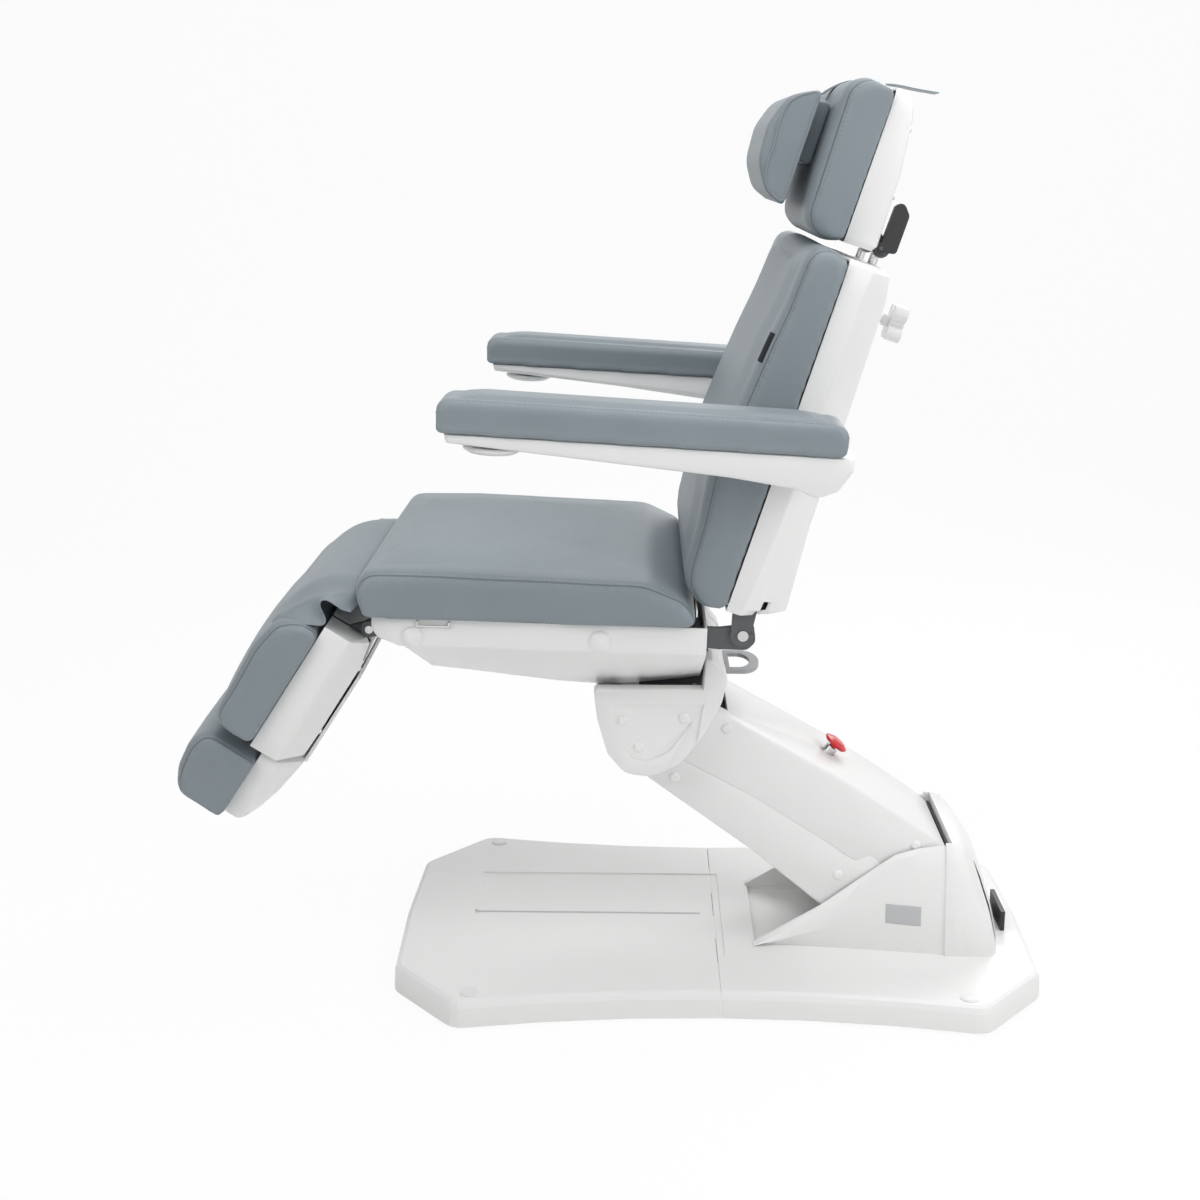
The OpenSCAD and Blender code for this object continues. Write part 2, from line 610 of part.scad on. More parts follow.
module head_ear(x) difference() {
  union() {
    x_pin(0, 0, 70, x, x + ear_t);
    x_pin(link_off[0], link_off[1], 40, x, x + ear_t);
    x_plate(rounded([[-34, 0, 4], [30, -4, 4], [50, 38, 6], [90, 44, 5], [90, 62, 5],
                     [62, 105, 14], [42, 125, 16], [20, 106, 10], [-34, 62, 6]], 3), x, x + ear_t);
  }
  x_pin(0, 0, main_pin_d + 0.04, x - 1, x + ear_t + 1);
  x_pin(tilt_at[0] - up[0], tilt_at[1] - up[1], 20 + 2 * pin_gap, x - 1, x + ear_t + 1);
}
module head_frame() color(steel) translate([0, up[0], up[1]]) {
  head_ear(ear_x);
  head_ear(-ear_x - ear_t);
  x_pin(link_off[0], link_off[1], 18, -ear_x - eps, ear_x + eps);
  x_pin(6, 76, 16, -ear_x - eps, ear_x + eps);
  both() x_pin(lever_at[0], lever_at[1], 9, ear_x + ear_t - eps, head_w / 2 - 8 - soft_gap);
  x_pin(lever_at[0], lever_at[1], 8, -ear_x - eps, ear_x + eps);
}
module upper_pivot_pins() color(bright) translate([0, up[0], up[1]])
  both() x_pin(0, 0, main_pin_d, ear_x - 4, ear_x + ear_t + 16);
module tilt_lever() color([0.45, 0.45, 0.44])
  translate([0, up[0] + lever_at[0], up[1] + lever_at[1]]) difference() {
    union() {
      x_pin(0, 0, 15, -ear_x + 2, ear_x - 2);
      translate([-57, 0, -3]) cube([114, 51, 6]);
      translate([0, 51, -3]) linear_extrude(6) half_oval(57, 28);
    }
    x_pin(0, 0, 8 + 2 * pin_gap, -ear_x, ear_x);
    translate([-39, 30, -5]) cube([78, 14, 10]);
    translate([0, 44 - eps, -5]) linear_extrude(10) half_oval(39, 20);
  }
module half_oval(a, b)
  polygon(concat([[-a, -1], [a, -1]], [for (i = [0:16]) [a * cos(i * 11.25), b * sin(i * 11.25)]]));

// Seat
cushion_z = 17;
board_t = 12;
pan_front = -(seat_len + 31);
pan_rear = -54;
pan_fold = -24;
seat_rail_x = 200;
frame_z = cushion_z - board_t - 30;
pan_hw = pan_w / 2;
// Rows are [share of the length, share of the fold, share of the width, share of the belly]
belly_rows = [[0, 0.15, 0.86, -0.09], [0.02, 0.55, 0.88, -0.01], [0.085, 1, 0.84, 0.12],
              [0.165, 1, 0.72, 0.50], [0.27, 1, 0.54, 0.69], [0.40, 1, 0.42, 0.85],
              [0.55, 1, 0.36, 0.965], [0.68, 1, 0.345, 1], [0.81, 1, 0.35, 0.95],
              [0.93, 1, 0.37, 0.86], [1, 1, 0.38, 0.80]];
pan_stations = [
  for (b = belly_rows)
    let (hw = pan_hw - (b[0] < 0.01 ? 12 : b[0] < 0.05 ? 4 : 0))
    [pan_front + (pan_rear - pan_front) * b[0], hw, cushion_z, pan_fold * b[1], hw * b[2],
     pan_fold - b[3] * (belly_drop + pan_fold)]
];
module seat_pan() color(white) at_seat() difference() {
  trough(pan_stations, 5, 12, wall);
  // Opening for the support head's frame and for the hinge hardware
  translate([-96, -196, -200]) cube([192, 150, 170]);
  both() translate([back_plate_x - 2, pan_rear - 12, -30]) cube([12, 30, 42]);
  both() for (y = [-loop_half, loop_half])
    translate([pan_hw - 8, loop_y + y, loop_z]) rotate([0, 90, 0]) cylinder(d = 3.6, h = 20);
  both() translate([seat_rail_x + 16, pan_front - 10, -60]) cube([12, 70, 66]);
  both() for (p = pan_cap_at)
    translate([pan_hw - 6, p[0], p[1]]) rotate([0, 90, 0]) cylinder(d = 8, h = 12);
}
pan_cap_at = [[pan_front + 61, -10], [pan_front + 335, -7]];
module seat_pan_caps() color(white) at_seat() both()
  for (p = pan_cap_at)
    translate([pan_hw, p[0], p[1]]) rotate([0, 90, 0]) {
      translate([0, 0, -8]) cylinder(d = 7.6, h = 8.01);
      rotate_extrude() polygon([[0, 0], [16, 0], [15.4, 2], [13, 4.2], [9, 6.2], [5, 7.2], [0, 7.6]]);
    }
loop_y = pan_front + 92;
loop_z = cushion_z - 3;
loop_half = 23;
module accessory_loops() color(bright) at_seat() both()
  translate([pan_hw + 3.2, loop_y, loop_z]) {
    for (y = [-loop_half, loop_half]) translate([0, y, 0]) {
      translate([0, 0, -6]) cylinder(d = 3.2, h = 6);
      rotate([0, -90, 0]) cylinder(d = 3.2, h = 3.2 + wall + 4);
      sphere(d = 3.2);
      translate([0, 0, -6]) sphere(d = 3.2);
    }
    translate([0, -loop_half, -6]) rotate([-90, 0, 0]) cylinder(d = 3.2, h = 2 * loop_half);
  }
module seat_board() color([0.75, 0.62, 0.44]) at_seat()
  translate([-pan_hw + 18, pan_front + 12, cushion_z - board_t])
    cube([pan_w - 36, pan_rear - pan_front - 36, board_t]);
module seat_frame() color(steel) at_seat() {
  difference() {
    union() {
      for (s = [-1, 1])
        tube_y(s * seat_rail_x, pan_front + 45, pan_rear - 8, frame_z, 30, 30);
      for (y = [pan_front + 90, -150]) {
        tube_x(y, -pan_hw + 22, pan_hw - 22, frame_z, 30, 30);
        both() translate([pan_hw - 26, y - 15, frame_z + 24])
          cube([26 - wall - soft_gap, 30, 6]);
      }
      // Lugs down to the tilt pivot
      both() seat_lug();
      // Ears for the leg rest hinge
      both() leg_ear(seat_rail_x + 18);
    }
    translate([0, 0, 0]) seat_pivot_bore();
  }
}
function to_seat(p) = let (d = p - hinge, c = cos(seat_slope), s = sin(seat_slope))
  [d[0] * c - d[1] * s, d[0] * s + d[1] * c];
tilt_local = to_seat(tilt_at);
module seat_lug() {
  t = tilt_local;
  x_plate(rounded([[t[0] - 26, frame_z, 0], [t[0] - 20, t[1] - 8, 8], [t[0], t[1] - 24, 18],
                   [t[0] + 18, t[1] - 8, 8], [t[0] + 12, frame_z, 0]], 3),
          ear_x + ear_t + 4, ear_x + ear_t + 12);
  translate([ear_x + ear_t + 4, -165, frame_z]) cube([8, 165 + pan_rear - 10, 30]);
  tube_x(pan_rear - 24, ear_x + ear_t + 4, seat_rail_x - 15 + eps, frame_z, 24, 30);
}
module seat_pivot_bore()
  x_pin(tilt_local[0], tilt_local[1], 20.04, -ear_x - ear_t - 20, ear_x + ear_t + 20);
module leg_ear(x) difference() {
  union() {
    x_plate([[leg_hinge[0], leg_hinge[1] - 12], [pan_front + 50, frame_z + 2], [pan_front + 90, frame_z + 2],
             [pan_front + 90, frame_z + 24], [pan_front + 60, frame_z + 24],
             [leg_hinge[0], leg_hinge[1] + 12]], x, x + 8);
    x_pin(leg_hinge[0], leg_hinge[1], 25, x, x + 8);
  }
  x_pin(leg_hinge[0], leg_hinge[1], 12.04, x - 1, x + 9);
}
back_plate_x = 243;
module back_hinge_plates() color(steel) at_seat() both() difference() {
  union() {
    x_plate(rounded([[-74, -22, 2], [-34, -25, 2], [8, -25, 12], [20, -12, 10], [16, 16, 6],
                     [-8, 12, 4], [-34, 8, 2], [-74, 8, 2]], 2),
            back_plate_x, back_plate_x + 8);
    translate([seat_rail_x + 15, -74, -22]) cube([back_plate_x - seat_rail_x - 15 + eps, 12, 27]);
  }
  x_pin(0, 0, 16.04, back_plate_x - 1, back_plate_x + 9);
}
module hinge_bolts() color(bright) {
  at_seat() both() {
    x_pin(0, 0, 16, back_plate_x - 3, back_plate_x + 22);
    x_pin(leg_hinge[0], leg_hinge[1], 12, seat_rail_x + 4, seat_rail_x + 28);
  }
  translate([0, tilt_at[0], tilt_at[1]]) both() x_pin(0, 0, 20, ear_x - 3, ear_x + ear_t + 14);
}
back_drive_y = pan_front + 125;
back_rod_y = -250;
leg_drive_y = -240;
leg_rod_y = pan_front + 145;
module back_actuator() color(black) at_seat() {
  translate([-120, back_drive_y, -44]) rotate([-90, 0, 0])
    cylinder(d = 36, h = back_rod_y - back_drive_y);
  translate([-120, back_rod_y - eps, -44]) rotate([-90, 0, 0]) cylinder(d = 20, h = 120);
  translate([-146, back_drive_y, -80]) cube([44, 60, 30]);
  translate([-126, pan_front + 78, -50]) cube([12, 62, 50 + frame_z]);
}
module leg_actuator() color(black) at_seat() {
  translate([110, leg_drive_y, -48]) rotate([90, 0, 0])
    cylinder(d = 34, h = leg_drive_y - leg_rod_y);
  translate([110, leg_rod_y + eps, -48]) rotate([90, 0, 0]) cylinder(d = 18, h = 60);
  translate([92, leg_drive_y - 60, -84]) cube([36, 60, 30]);
  translate([104, leg_drive_y - 22, -50]) cube([12, 124, 50 + frame_z]);
}
seat_pts = rounded([
  [-seat_len - 44, cushion_z + soft_gap, 14], [-seat_len - 58, cushion_z + 42, 34],
  [-seat_len - 42, cushion_z + seat_th, 26], [-seat_len + 80, cushion_z + seat_th + 3, 0],
  [-144, cushion_z + seat_th - 3, 60], [-84, cushion_z + seat_th - 30, 30],
  [-58, cushion_z + soft_gap, 14]
], 4);
module seat_cushion() color(vinyl) at_seat()
  cushion(turned(seat_pts), seat_w / 2, 22, seat_crown, 5, 5);

// Back, drawn lying flat behind its hinge
back_z = 40;
back_y0 = 35;
back_y1 = 560;
shell_hw = shell_w / 2;
back_rail_x = 150;
back_frame_z = back_z - board_t - 34;
back_stations = [
  [back_y0, shell_hw - 4, back_z, 18, 216, -38], [back_y0 + 10, shell_hw, back_z, 17, 214, -56],
  [back_y0 + 140, shell_hw, back_z, 8, 214, -46], [back_y0 + 330, shell_hw - 2, back_z, 7, 214, -42],
  [back_y1 - 42, shell_hw - 5, back_z, 6, 212, -38], [back_y1 - 8, shell_hw - 11, back_z, 2, 204, -32],
  [back_y1, shell_hw - 17, back_z, 8, 196, -20]
];
arm_pivot = [275, -12];
module back_shell() color(white) at_back() difference() {
  trough(back_stations, 7, 14, wall);
  for (s = [-1, 1]) translate([s * rod_gap / 2, back_y1 - 30, rod_z]) rotate([-90, 0, 0])
    cylinder(d = rod_d + 6, h = 60);
  both() x_pin(arm_pivot[0], arm_pivot[1], 30, 220, 320);
  translate([0, knob_y, -80]) cylinder(d = 16, h = 90);
  both() translate([back_plate_x + 6, back_y0 - 10, -26]) cube([16, 34, 70]);
  // Open lower end, where the drive and the wiring come in
  translate([-100, back_y0 - 10, -34]) cube([200, 24, 46]);
}
rod_z = -20;
knob_y = back_y1 - 75;
back_tube = 34;
module back_board() color([0.75, 0.62, 0.44]) at_back()
  translate([-shell_hw + 30, back_y0 + 12, back_z - board_t])
    cube([shell_w - 60, back_y1 - back_y0 - 30, board_t]);
module back_frame() color(steel) at_back() difference() {
  union() {
    for (s = [-1, 1])
      tube_y(s * back_rail_x, back_y0 + 12, back_y1 - 40, back_frame_z, back_tube, back_tube);
    for (y = [back_y0 + 27, arm_pivot[0], back_y1 - 180])
      tube_x(y, -shell_hw + 34, shell_hw - 34, back_frame_z, 30, back_tube);
    both() back_ear(back_plate_x + 9);
  }
  for (s = [-1, 1]) translate([s * rod_gap / 2, knob_y - 185, rod_z]) rotate([-90, 0, 0])
    cylinder(d = rod_d + 4, h = 400);
  both() x_pin(0, 0, 16 + 2 * pin_gap, back_plate_x, back_plate_x + 40);
}
module back_ear(x) {
  x_pin(0, 0, 36, x, x + 8);
  x_pin(2, -11, 9, x + 8 - eps, x + 11);
  x_plate([[-4, -17], [18, -10], [60, back_frame_z], [60, back_frame_z + 34], [30, 26], [-2, 17.5]],
          x, x + 8);
}
module rod_guides() color(black) at_back() difference() {
  translate([-rod_gap / 2 - 18, knob_y - 20, rod_z - 14])
    cube([rod_gap + 36, 40, 28]);
  for (s = [-1, 1]) translate([s * rod_gap / 2, knob_y - 185, rod_z]) rotate([-90, 0, 0])
    cylinder(d = rod_d + 2 * pin_gap + 0.2, h = 400);
  translate([0, knob_y, -80]) cylinder(d = 12 + 2 * pin_gap, h = 120);
}
module armrest_pivots() color(steel) at_back() both() {
  x_pin(arm_pivot[0], arm_pivot[1], 20, shell_hw - 34, arm_gap / 2 + 44);
  x_pin(arm_pivot[0], arm_pivot[1], 40, arm_gap / 2 - run_gap - 12, arm_gap / 2 - run_gap);
}
knob_z = -100;
module clamp_knob() color(pale) at_back() translate([0, knob_y, 0]) {
  translate([0, 0, knob_z]) cylinder(d = 12, h = -knob_z + rod_z + 4);
  translate([0, 0, knob_z]) cylinder(d = 19, h = 24);
  translate([0, 0, knob_z - 8]) linear_extrude(22) {
    circle(d = 36);
    for (i = [0:3]) rotate([0, 0, 45 + 90 * i]) translate([22, 0]) circle(d = 24);
  }
}
back_pts = rounded([
  [33, back_z + soft_gap, 14], [24, back_z + 36, 30], [50, back_z + back_th + 5, 40],
  [146, back_z + back_th + lumbar - 12, 0], [215, back_z + back_th + lumbar - 3, 80],
  [420, back_z + back_th + 4, 0], [470, back_z + back_th - 3, 0],
  [back_len + 30, back_z + back_th - 8, 26], [back_len + 36, back_z + 30, 30],
  [back_len + 28, back_z + soft_gap, 14]
], 3);
module back_cushion() color(vinyl) at_back()
  cushion(turned(back_pts), back_w / 2, 30, 4, 4, 5);

// Headrest, on two rods that slide in the back
head_z = 46;
head_y0 = 578;
head_crown = 6;
pillow_sink = 1.5;
tilt_y = head_y0 + 6;
tilt_z = -24;
bracket_x = rod_gap / 2;
lever_x = 116;
lever_y = head_y0 + 8;
lever_z = -18;
module headrest_rods() color(bright) at_back() {
  for (s = [-1, 1]) {
    translate([s * bracket_x, knob_y - 101, rod_z]) rotate([-90, 0, 0])
      cylinder(d = rod_d, h = tilt_y - 10 - (knob_y - 101));
    difference() {
      x_pin(tilt_y, tilt_z, 26, s * bracket_x - 10, s * bracket_x + 10);
      x_pin(tilt_y, tilt_z, 10 + 2 * pin_gap, s * bracket_x - 11, s * bracket_x + 11);
    }
  }
}
module headrest_bracket() color(steel) at_back() {
  for (s = [-1, 1]) {
    x_pin(tilt_y, tilt_z, 10, s * bracket_x - 20, s * bracket_x + 20);
    for (x = [-18, 11]) difference() {
      union() {
        x_pin(tilt_y, tilt_z, 24, s * bracket_x + x, s * bracket_x + x + 7);
        x_plate([[tilt_y - 8, tilt_z + 6], [tilt_y + 10, tilt_z - 8], [tilt_y + 40, 10],
                 [tilt_y + 40, head_z - 10], [tilt_y + 16, head_z - 10]],
                s * bracket_x + x, s * bracket_x + x + 7);
      }
      x_pin(tilt_y, tilt_z, 10 - eps, s * bracket_x + x - 1, s * bracket_x + x + 8);
    }
  }
  x_pin(lever_y, lever_z, 6, bracket_x + 18 - eps, lever_x + 8);
  translate([-150, tilt_y + 14, head_z - 10]) cube([300, 150, 10]);
}
head_shell_hw = head_pad_w / 2 - 4;
head_stations = [
  [head_y0, head_shell_hw - 5, head_z, 4, 118, -6], [head_y0 + 8, head_shell_hw, head_z, 0, 122, -12],
  [head_y0 + 110, head_shell_hw, head_z, 2, 126, -8],
  [head_y0 + 190, head_shell_hw - 3, head_z, 12, 130, 4],
  [head_y0 + 214, head_shell_hw - 9, head_z, 20, 136, 12],
  [head_y0 + 222, head_shell_hw - 16, head_z, 30, 140, 26]
];
module headrest_shell() color(white) at_back() difference() {
  trough(head_stations, 6, 10, wall);
  for (s = [-1, 1]) translate([s * bracket_x - 21, head_y0 - 10, -40]) cube([42, 44, 60]);
  both() translate([104, head_y0 - 10, -30]) cube([24, 40, 30]);
}
head_pts = rounded([
  [head_y0 - 2, head_z + soft_gap, 16], [head_y0 - 9, head_z + 34, 30],
  [head_y0 + 6, head_z + head_th - 4, 34], [head_y0 + 76, head_z + head_th - 1, 0],
  [head_y0 + head_len - 13, head_z + head_th, 30], [head_y0 + head_len + 3, head_z + 42, 30],
  [head_y0 + head_len - 4, head_z + soft_gap, 14]
], 3);
module headrest_cushion() color(vinyl) at_back()
  cushion(turned(head_pts), head_pad_w / 2, 26, head_crown, 4, 3);
module headrest_lever() color(black) at_back() difference() {
  union() {
    x_pin(lever_y, lever_z, 16, lever_x - 6, lever_x + 6);
    x_plate(rounded([[head_y0 + 2, -16, 4], [head_y0 + 6, -42, 6], [head_y0 + 64, -42, 10],
                     [head_y0 + 82, -26, 8], [head_y0 + 70, -17, 5]], 3),
            lever_x - 6, lever_x + 6);
  }
  x_pin(lever_y, lever_z, 6 + 2 * pin_gap, lever_x - 10, lever_x + 10);
}
pillow_z = head_z + head_th + head_crown - pillow_sink + soft_gap;
pillow_pad = 20;
pillow_top = pillow_z + pillow_pad;
pillow_pts = rounded([
  [head_y0 + 24, pillow_z, 5], [head_y0 + 19, pillow_top, 6], [head_y0 + 30, pillow_top + 33, 30],
  [head_y0 + 68, pillow_top + 57, 40], [head_y0 + 122, pillow_top + 61, 50],
  [head_y0 + 170, pillow_top + 45, 40], [head_y0 + 192, pillow_top, 8], [head_y0 + 186, pillow_z, 5]
], 3);
module head_pillow() color(vinyl) at_back()
  cushion(turned(pillow_pts), 158, 5, 0, 3, 2);
strap_top = head_y0 + head_len + 14;
strap_line = [[head_y0 + 191, pillow_z + 12], [head_y0 + 194, pillow_z + 6],
              [head_y0 + 200, pillow_z + 1.5], [head_y0 + 212, pillow_z - 4],
              [head_y0 + 224, head_z + head_th - 7], [head_y0 + 234, head_z + head_th - 18],
              [strap_top, head_z + 38], [strap_top + 1, head_z + 10], [strap_top - 1, head_z - 20],
              [strap_top + 1, head_z - 50], [strap_top + 9, head_z - 82]];
function strap_side(line, d) = [
  for (i = [0:len(line) - 1])
    let (a = line[max(0, i - 1)], b = line[min(len(line) - 1, i + 1)], t = unit(b - a))
    line[i] + d * [-t[1], t[0]]
];
module pillow_strap() color(vinyl) at_back()
  x_plate(concat(strap_side(strap_line, 1.2), turned(strap_side(strap_line, -1.2))), -19, 19);

// Leg rest, drawn lying flat in front of its hinge
leg_z = 57;
leg_y0 = -20;
leg_y1 = -236;
leg_hw = leg_shell_w / 2;
leg_stations = [
  [leg_y0 + 6, leg_hw - 2, leg_z, 12, 212, -6], [leg_y0, leg_hw, leg_z, 12, 212, -15],
  [leg_y0 - 30, leg_hw, leg_z, 11, 214, -20], [leg_y1 + 40, leg_hw - 1, leg_z, 11, 214, -21],
  [leg_y1 + 4, leg_hw - 3, leg_z, 11, 212, -20], [leg_y1, leg_hw - 6, leg_z, 13, 208, -16]
];
module leg_shell() color(white) at_leg() difference() {
  trough(turned(leg_stations), 7, 12, wall);
  for (s = [-1, 1]) translate([s * slide_x - 18, leg_y1 - 10, -6]) cube([36, 40, 36]);
  both() translate([seat_rail_x + 4, leg_y0 - 30, -30]) cube([16, 60, 90]);
}
slide_x = 110;
module leg_frame() color(steel) at_leg() difference() {
  union() {
    for (s = [-1, 1]) tube_y(s * slide_x, leg_y1 + 14, leg_y0 - 10, -2, 32, 28);
    for (y = [leg_y0 - 26, leg_y1 + 60])
      tube_x(y, -leg_hw + wall + 1.3, leg_hw - wall - 1.3, 26 - eps, 30, leg_z - board_t - 26);
    both() {
      x_pin(0, 0, 25, seat_rail_x + 8, seat_rail_x + 16);
      x_plate([[0, -12.4], [leg_y0 - 18, 22], [leg_y0 - 38, 26], [leg_y0 - 38, leg_z - board_t],
               [leg_y0 - 14, leg_z - board_t], [4, 11]], seat_rail_x + 8, seat_rail_x + 16);
    }
    translate([-leg_hw + 26, leg_y1 + 12, leg_z - board_t])
      cube([leg_shell_w - 52, leg_y0 - leg_y1 - 24, board_t]);
  }
  both() x_pin(0, 0, 12 + 2 * pin_gap, seat_rail_x, seat_rail_x + 30);
}
leg_pts = rounded([
  [leg_y0 - 1, leg_z + soft_gap, 14], [leg_y0 - 4, leg_z + 38, 30], [leg_y0 - 24, leg_z + leg_th - 6, 26],
  [leg_y0 - 76, leg_z + leg_th + 5, 0], [leg_y0 - 150, leg_z + leg_th + 1, 0],
  [leg_y0 - leg_len + 2, leg_z + leg_th, 24], [leg_y0 - leg_len - 1, leg_z + 30, 16],
  [leg_y0 - leg_len + 3, leg_z + soft_gap, 8]
], 3);
module leg_cushion() color(vinyl) at_leg() cushion(leg_pts, leg_w / 2, 22, 10, 4, 4);
flap_drop = 7.3;
// Loose vinyl that closes the gap between the leg cushion and the front of the seat
flap_line = [[leg_y0 - 34, leg_z + leg_th + 3.5 - flap_drop], [leg_y0 - 6, leg_z + leg_th - 5 - flap_drop],
             [leg_y0 + 18, leg_z + leg_th - 22], [leg_y0 + 44, leg_z + leg_th - 38],
             [leg_y0 + 64, leg_z + leg_th - 58], [leg_y0 + 72, leg_z + leg_th - 70]];
flap_crown = 8;
module knee_flap() color(vinyl) at_leg() {
  pts = turned(strip(flap_line, 2));
  loft([for (x = [leg_w / 2 - 16, leg_w / 4, 0, -leg_w / 4, -leg_w / 2 + 16])
    [for (p = pts) [x, p[0], p[1] + flap_crown * (1 - pow(2 * x / leg_w, 2))]]]);
}

// Foot rest, sliding out of the leg rest
foot_y = -254;
foot_z = 36;
foot_hw = foot_shell_w / 2;
foot_stations = [
  [foot_y + 4, foot_hw - 3, foot_z, 8, 192, -26], [foot_y, foot_hw, foot_z, 6, 192, -26],
  [foot_y - 60, foot_hw, foot_z, 6, 192, -17], [foot_y - 100, foot_hw - 2, foot_z, 7, 190, -6],
  [foot_y - 109, foot_hw - 6, foot_z, 12, 184, 2]
];
module foot_shell() color(white) at_leg() {
  difference() {
    trough(turned(foot_stations), 8, 12, wall);
    for (s = [-1, 1]) translate([s * slide_x - 13, foot_y - 20, 0]) cube([26, 40, 24]);
  }
  // Tray that runs up behind the leg shell
  translate([-180, foot_y + 4 - wall, -30]) cube([360, foot_travel + 14, 5]);
}
module foot_slide() color(bright) at_leg() {
  for (s = [-1, 1]) translate([s * slide_x - 11, foot_y - 90, 1 + soft_gap])
    cube([22, -foot_y + leg_y0 + 60, 22 - 2 * soft_gap]);
  translate([-foot_hw + 2 + wall + soft_gap, foot_y - 94, 23 - soft_gap - eps])
    cube([foot_shell_w - 4 - 2 * wall - 2 * soft_gap, 84, foot_z - 23 + soft_gap + eps]);
}
foot_pts = rounded([
  [foot_y - 6, foot_z + soft_gap, 8], [foot_y - 3, foot_z + 60, 20], [foot_y - 2, foot_z + 92, 26],
  [foot_y - 40, foot_z + 103, 0], [foot_y - 82, foot_z + 98, 30],
  [foot_y - foot_len - 14, foot_z + 80, 24], [foot_y - foot_len - 13, foot_z + soft_gap, 14]
], 3);
module foot_cushion() color(vinyl) at_leg() cushion(foot_pts, 275, 20, 5, 4, 3);

// Armrests, each drawn level with its pivot at the origin
module at_armrest(side) at_back() translate([0, arm_pivot[0], arm_pivot[1]])
  rotate([-back_angle - arm_slope, 0, 0]) scale_side(side) children();
module scale_side(side) mirror([side < 0 ? 1 : 0, 0, 0]) children();
arm_x = arm_gap / 2;
arm_top = 38;
arm_front = -514;
rest_pts = rounded([
  [arm_front, arm_top, 0], [arm_front + 3, arm_top - 13, 5], [arm_front + 120, arm_top - 20, 0],
  [-130, arm_top - 36, 0], [-40, arm_top - 46, 30], [-12, arm_top - 58, 20], [16, arm_top - 46, 8],
  [34, arm_top - 18, 6], [34, arm_top, 0]
], 2);
module armrest_body(side) color(white) at_armrest(side) difference() {
  union() {
    translate([arm_x + pad_w / 2, 0, 0]) x_block(rest_pts, pad_w / 2 - 6, 6, 2);
    x_pin(0, 0, 46, arm_x, arm_x + 46);
  }
  x_pin(0, 0, 20 + 2 * pin_gap, arm_x - 10, arm_x + 46 + run_gap);
  translate([arm_x + pad_w / 2, arm_knob_y, -100]) cylinder(d = 10 + 2 * pin_gap, h = 200);
}
arm_knob_y = arm_front + 62;
pad_pts = rounded([
  [arm_front - 12, arm_top + soft_gap, 8], [arm_front - 14, arm_top + pad_th - 6, 14],
  [arm_front + 4, arm_top + pad_th, 10], [arm_front + pad_len - 30, arm_top + pad_th - 2, 14],
  [arm_front + pad_len - 16, arm_top + pad_th - 14, 14], [arm_front + pad_len - 16, arm_top + soft_gap, 12]
], 2);
module armrest_pad(side) color(vinyl) at_armrest(side)
  translate([arm_x + pad_w / 2, 0, 0]) cushion(turned(pad_pts), pad_w / 2, 12, 3, 1.5, 1);
module armrest_knob(side) color(pale) at_armrest(side)
  translate([arm_x + pad_w / 2, arm_knob_y, arm_top - 19]) {
    translate([0, 0, -2]) cylinder(d = 10, h = 20);
    translate([0, 0, -13]) rotate_extrude()
      polygon([[0, 0], [18, 0.6], [32, 3], [39, 7], [40, 10], [38, 12], [0, 12]]);
  }
module armrest_left() armrest_body(1);
module armrest_right() armrest_body(-1);
module armrest_pad_left() armrest_pad(1);
module armrest_pad_right() armrest_pad(-1);
module armrest_knob_left() armrest_knob(1);
module armrest_knob_right() armrest_knob(-1);

base_frame();
base_cover_front();
base_cover_rear();
lift_housing();
base_plug_caps();
levelling_feet();
lower_pivot_pins();
power_inlet();
slot_lining();
control_box();
lift_arm_frame();
arm_cover_upper();
arm_cover_lower();
arm_screw_caps();
stop_collar();
lift_actuator();
stop_button();
tie_link();
head_frame();
head_cover();
head_screw_caps();
upper_pivot_pins();
tilt_lever();
seat_frame();
seat_board();
seat_pan();
seat_cushion();
seat_pan_caps();
accessory_loops();
back_hinge_plates();
hinge_bolts();
back_actuator();
leg_actuator();
back_frame();
back_board();
back_shell();
back_cushion();
rod_guides();
armrest_pivots();
clamp_knob();
headrest_rods();
headrest_bracket();
headrest_shell();
headrest_cushion();
head_pillow();
pillow_strap();
headrest_lever();
leg_frame();
leg_shell();
leg_cushion();
knee_flap();
foot_slide();
foot_shell();
foot_cushion();
armrest_left();
armrest_pad_left();
armrest_knob_left();
armrest_right();
armrest_pad_right();
armrest_knob_right();
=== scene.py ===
"""Dresses the procedure chair over its CAD frame and sets it on a plain stage."""

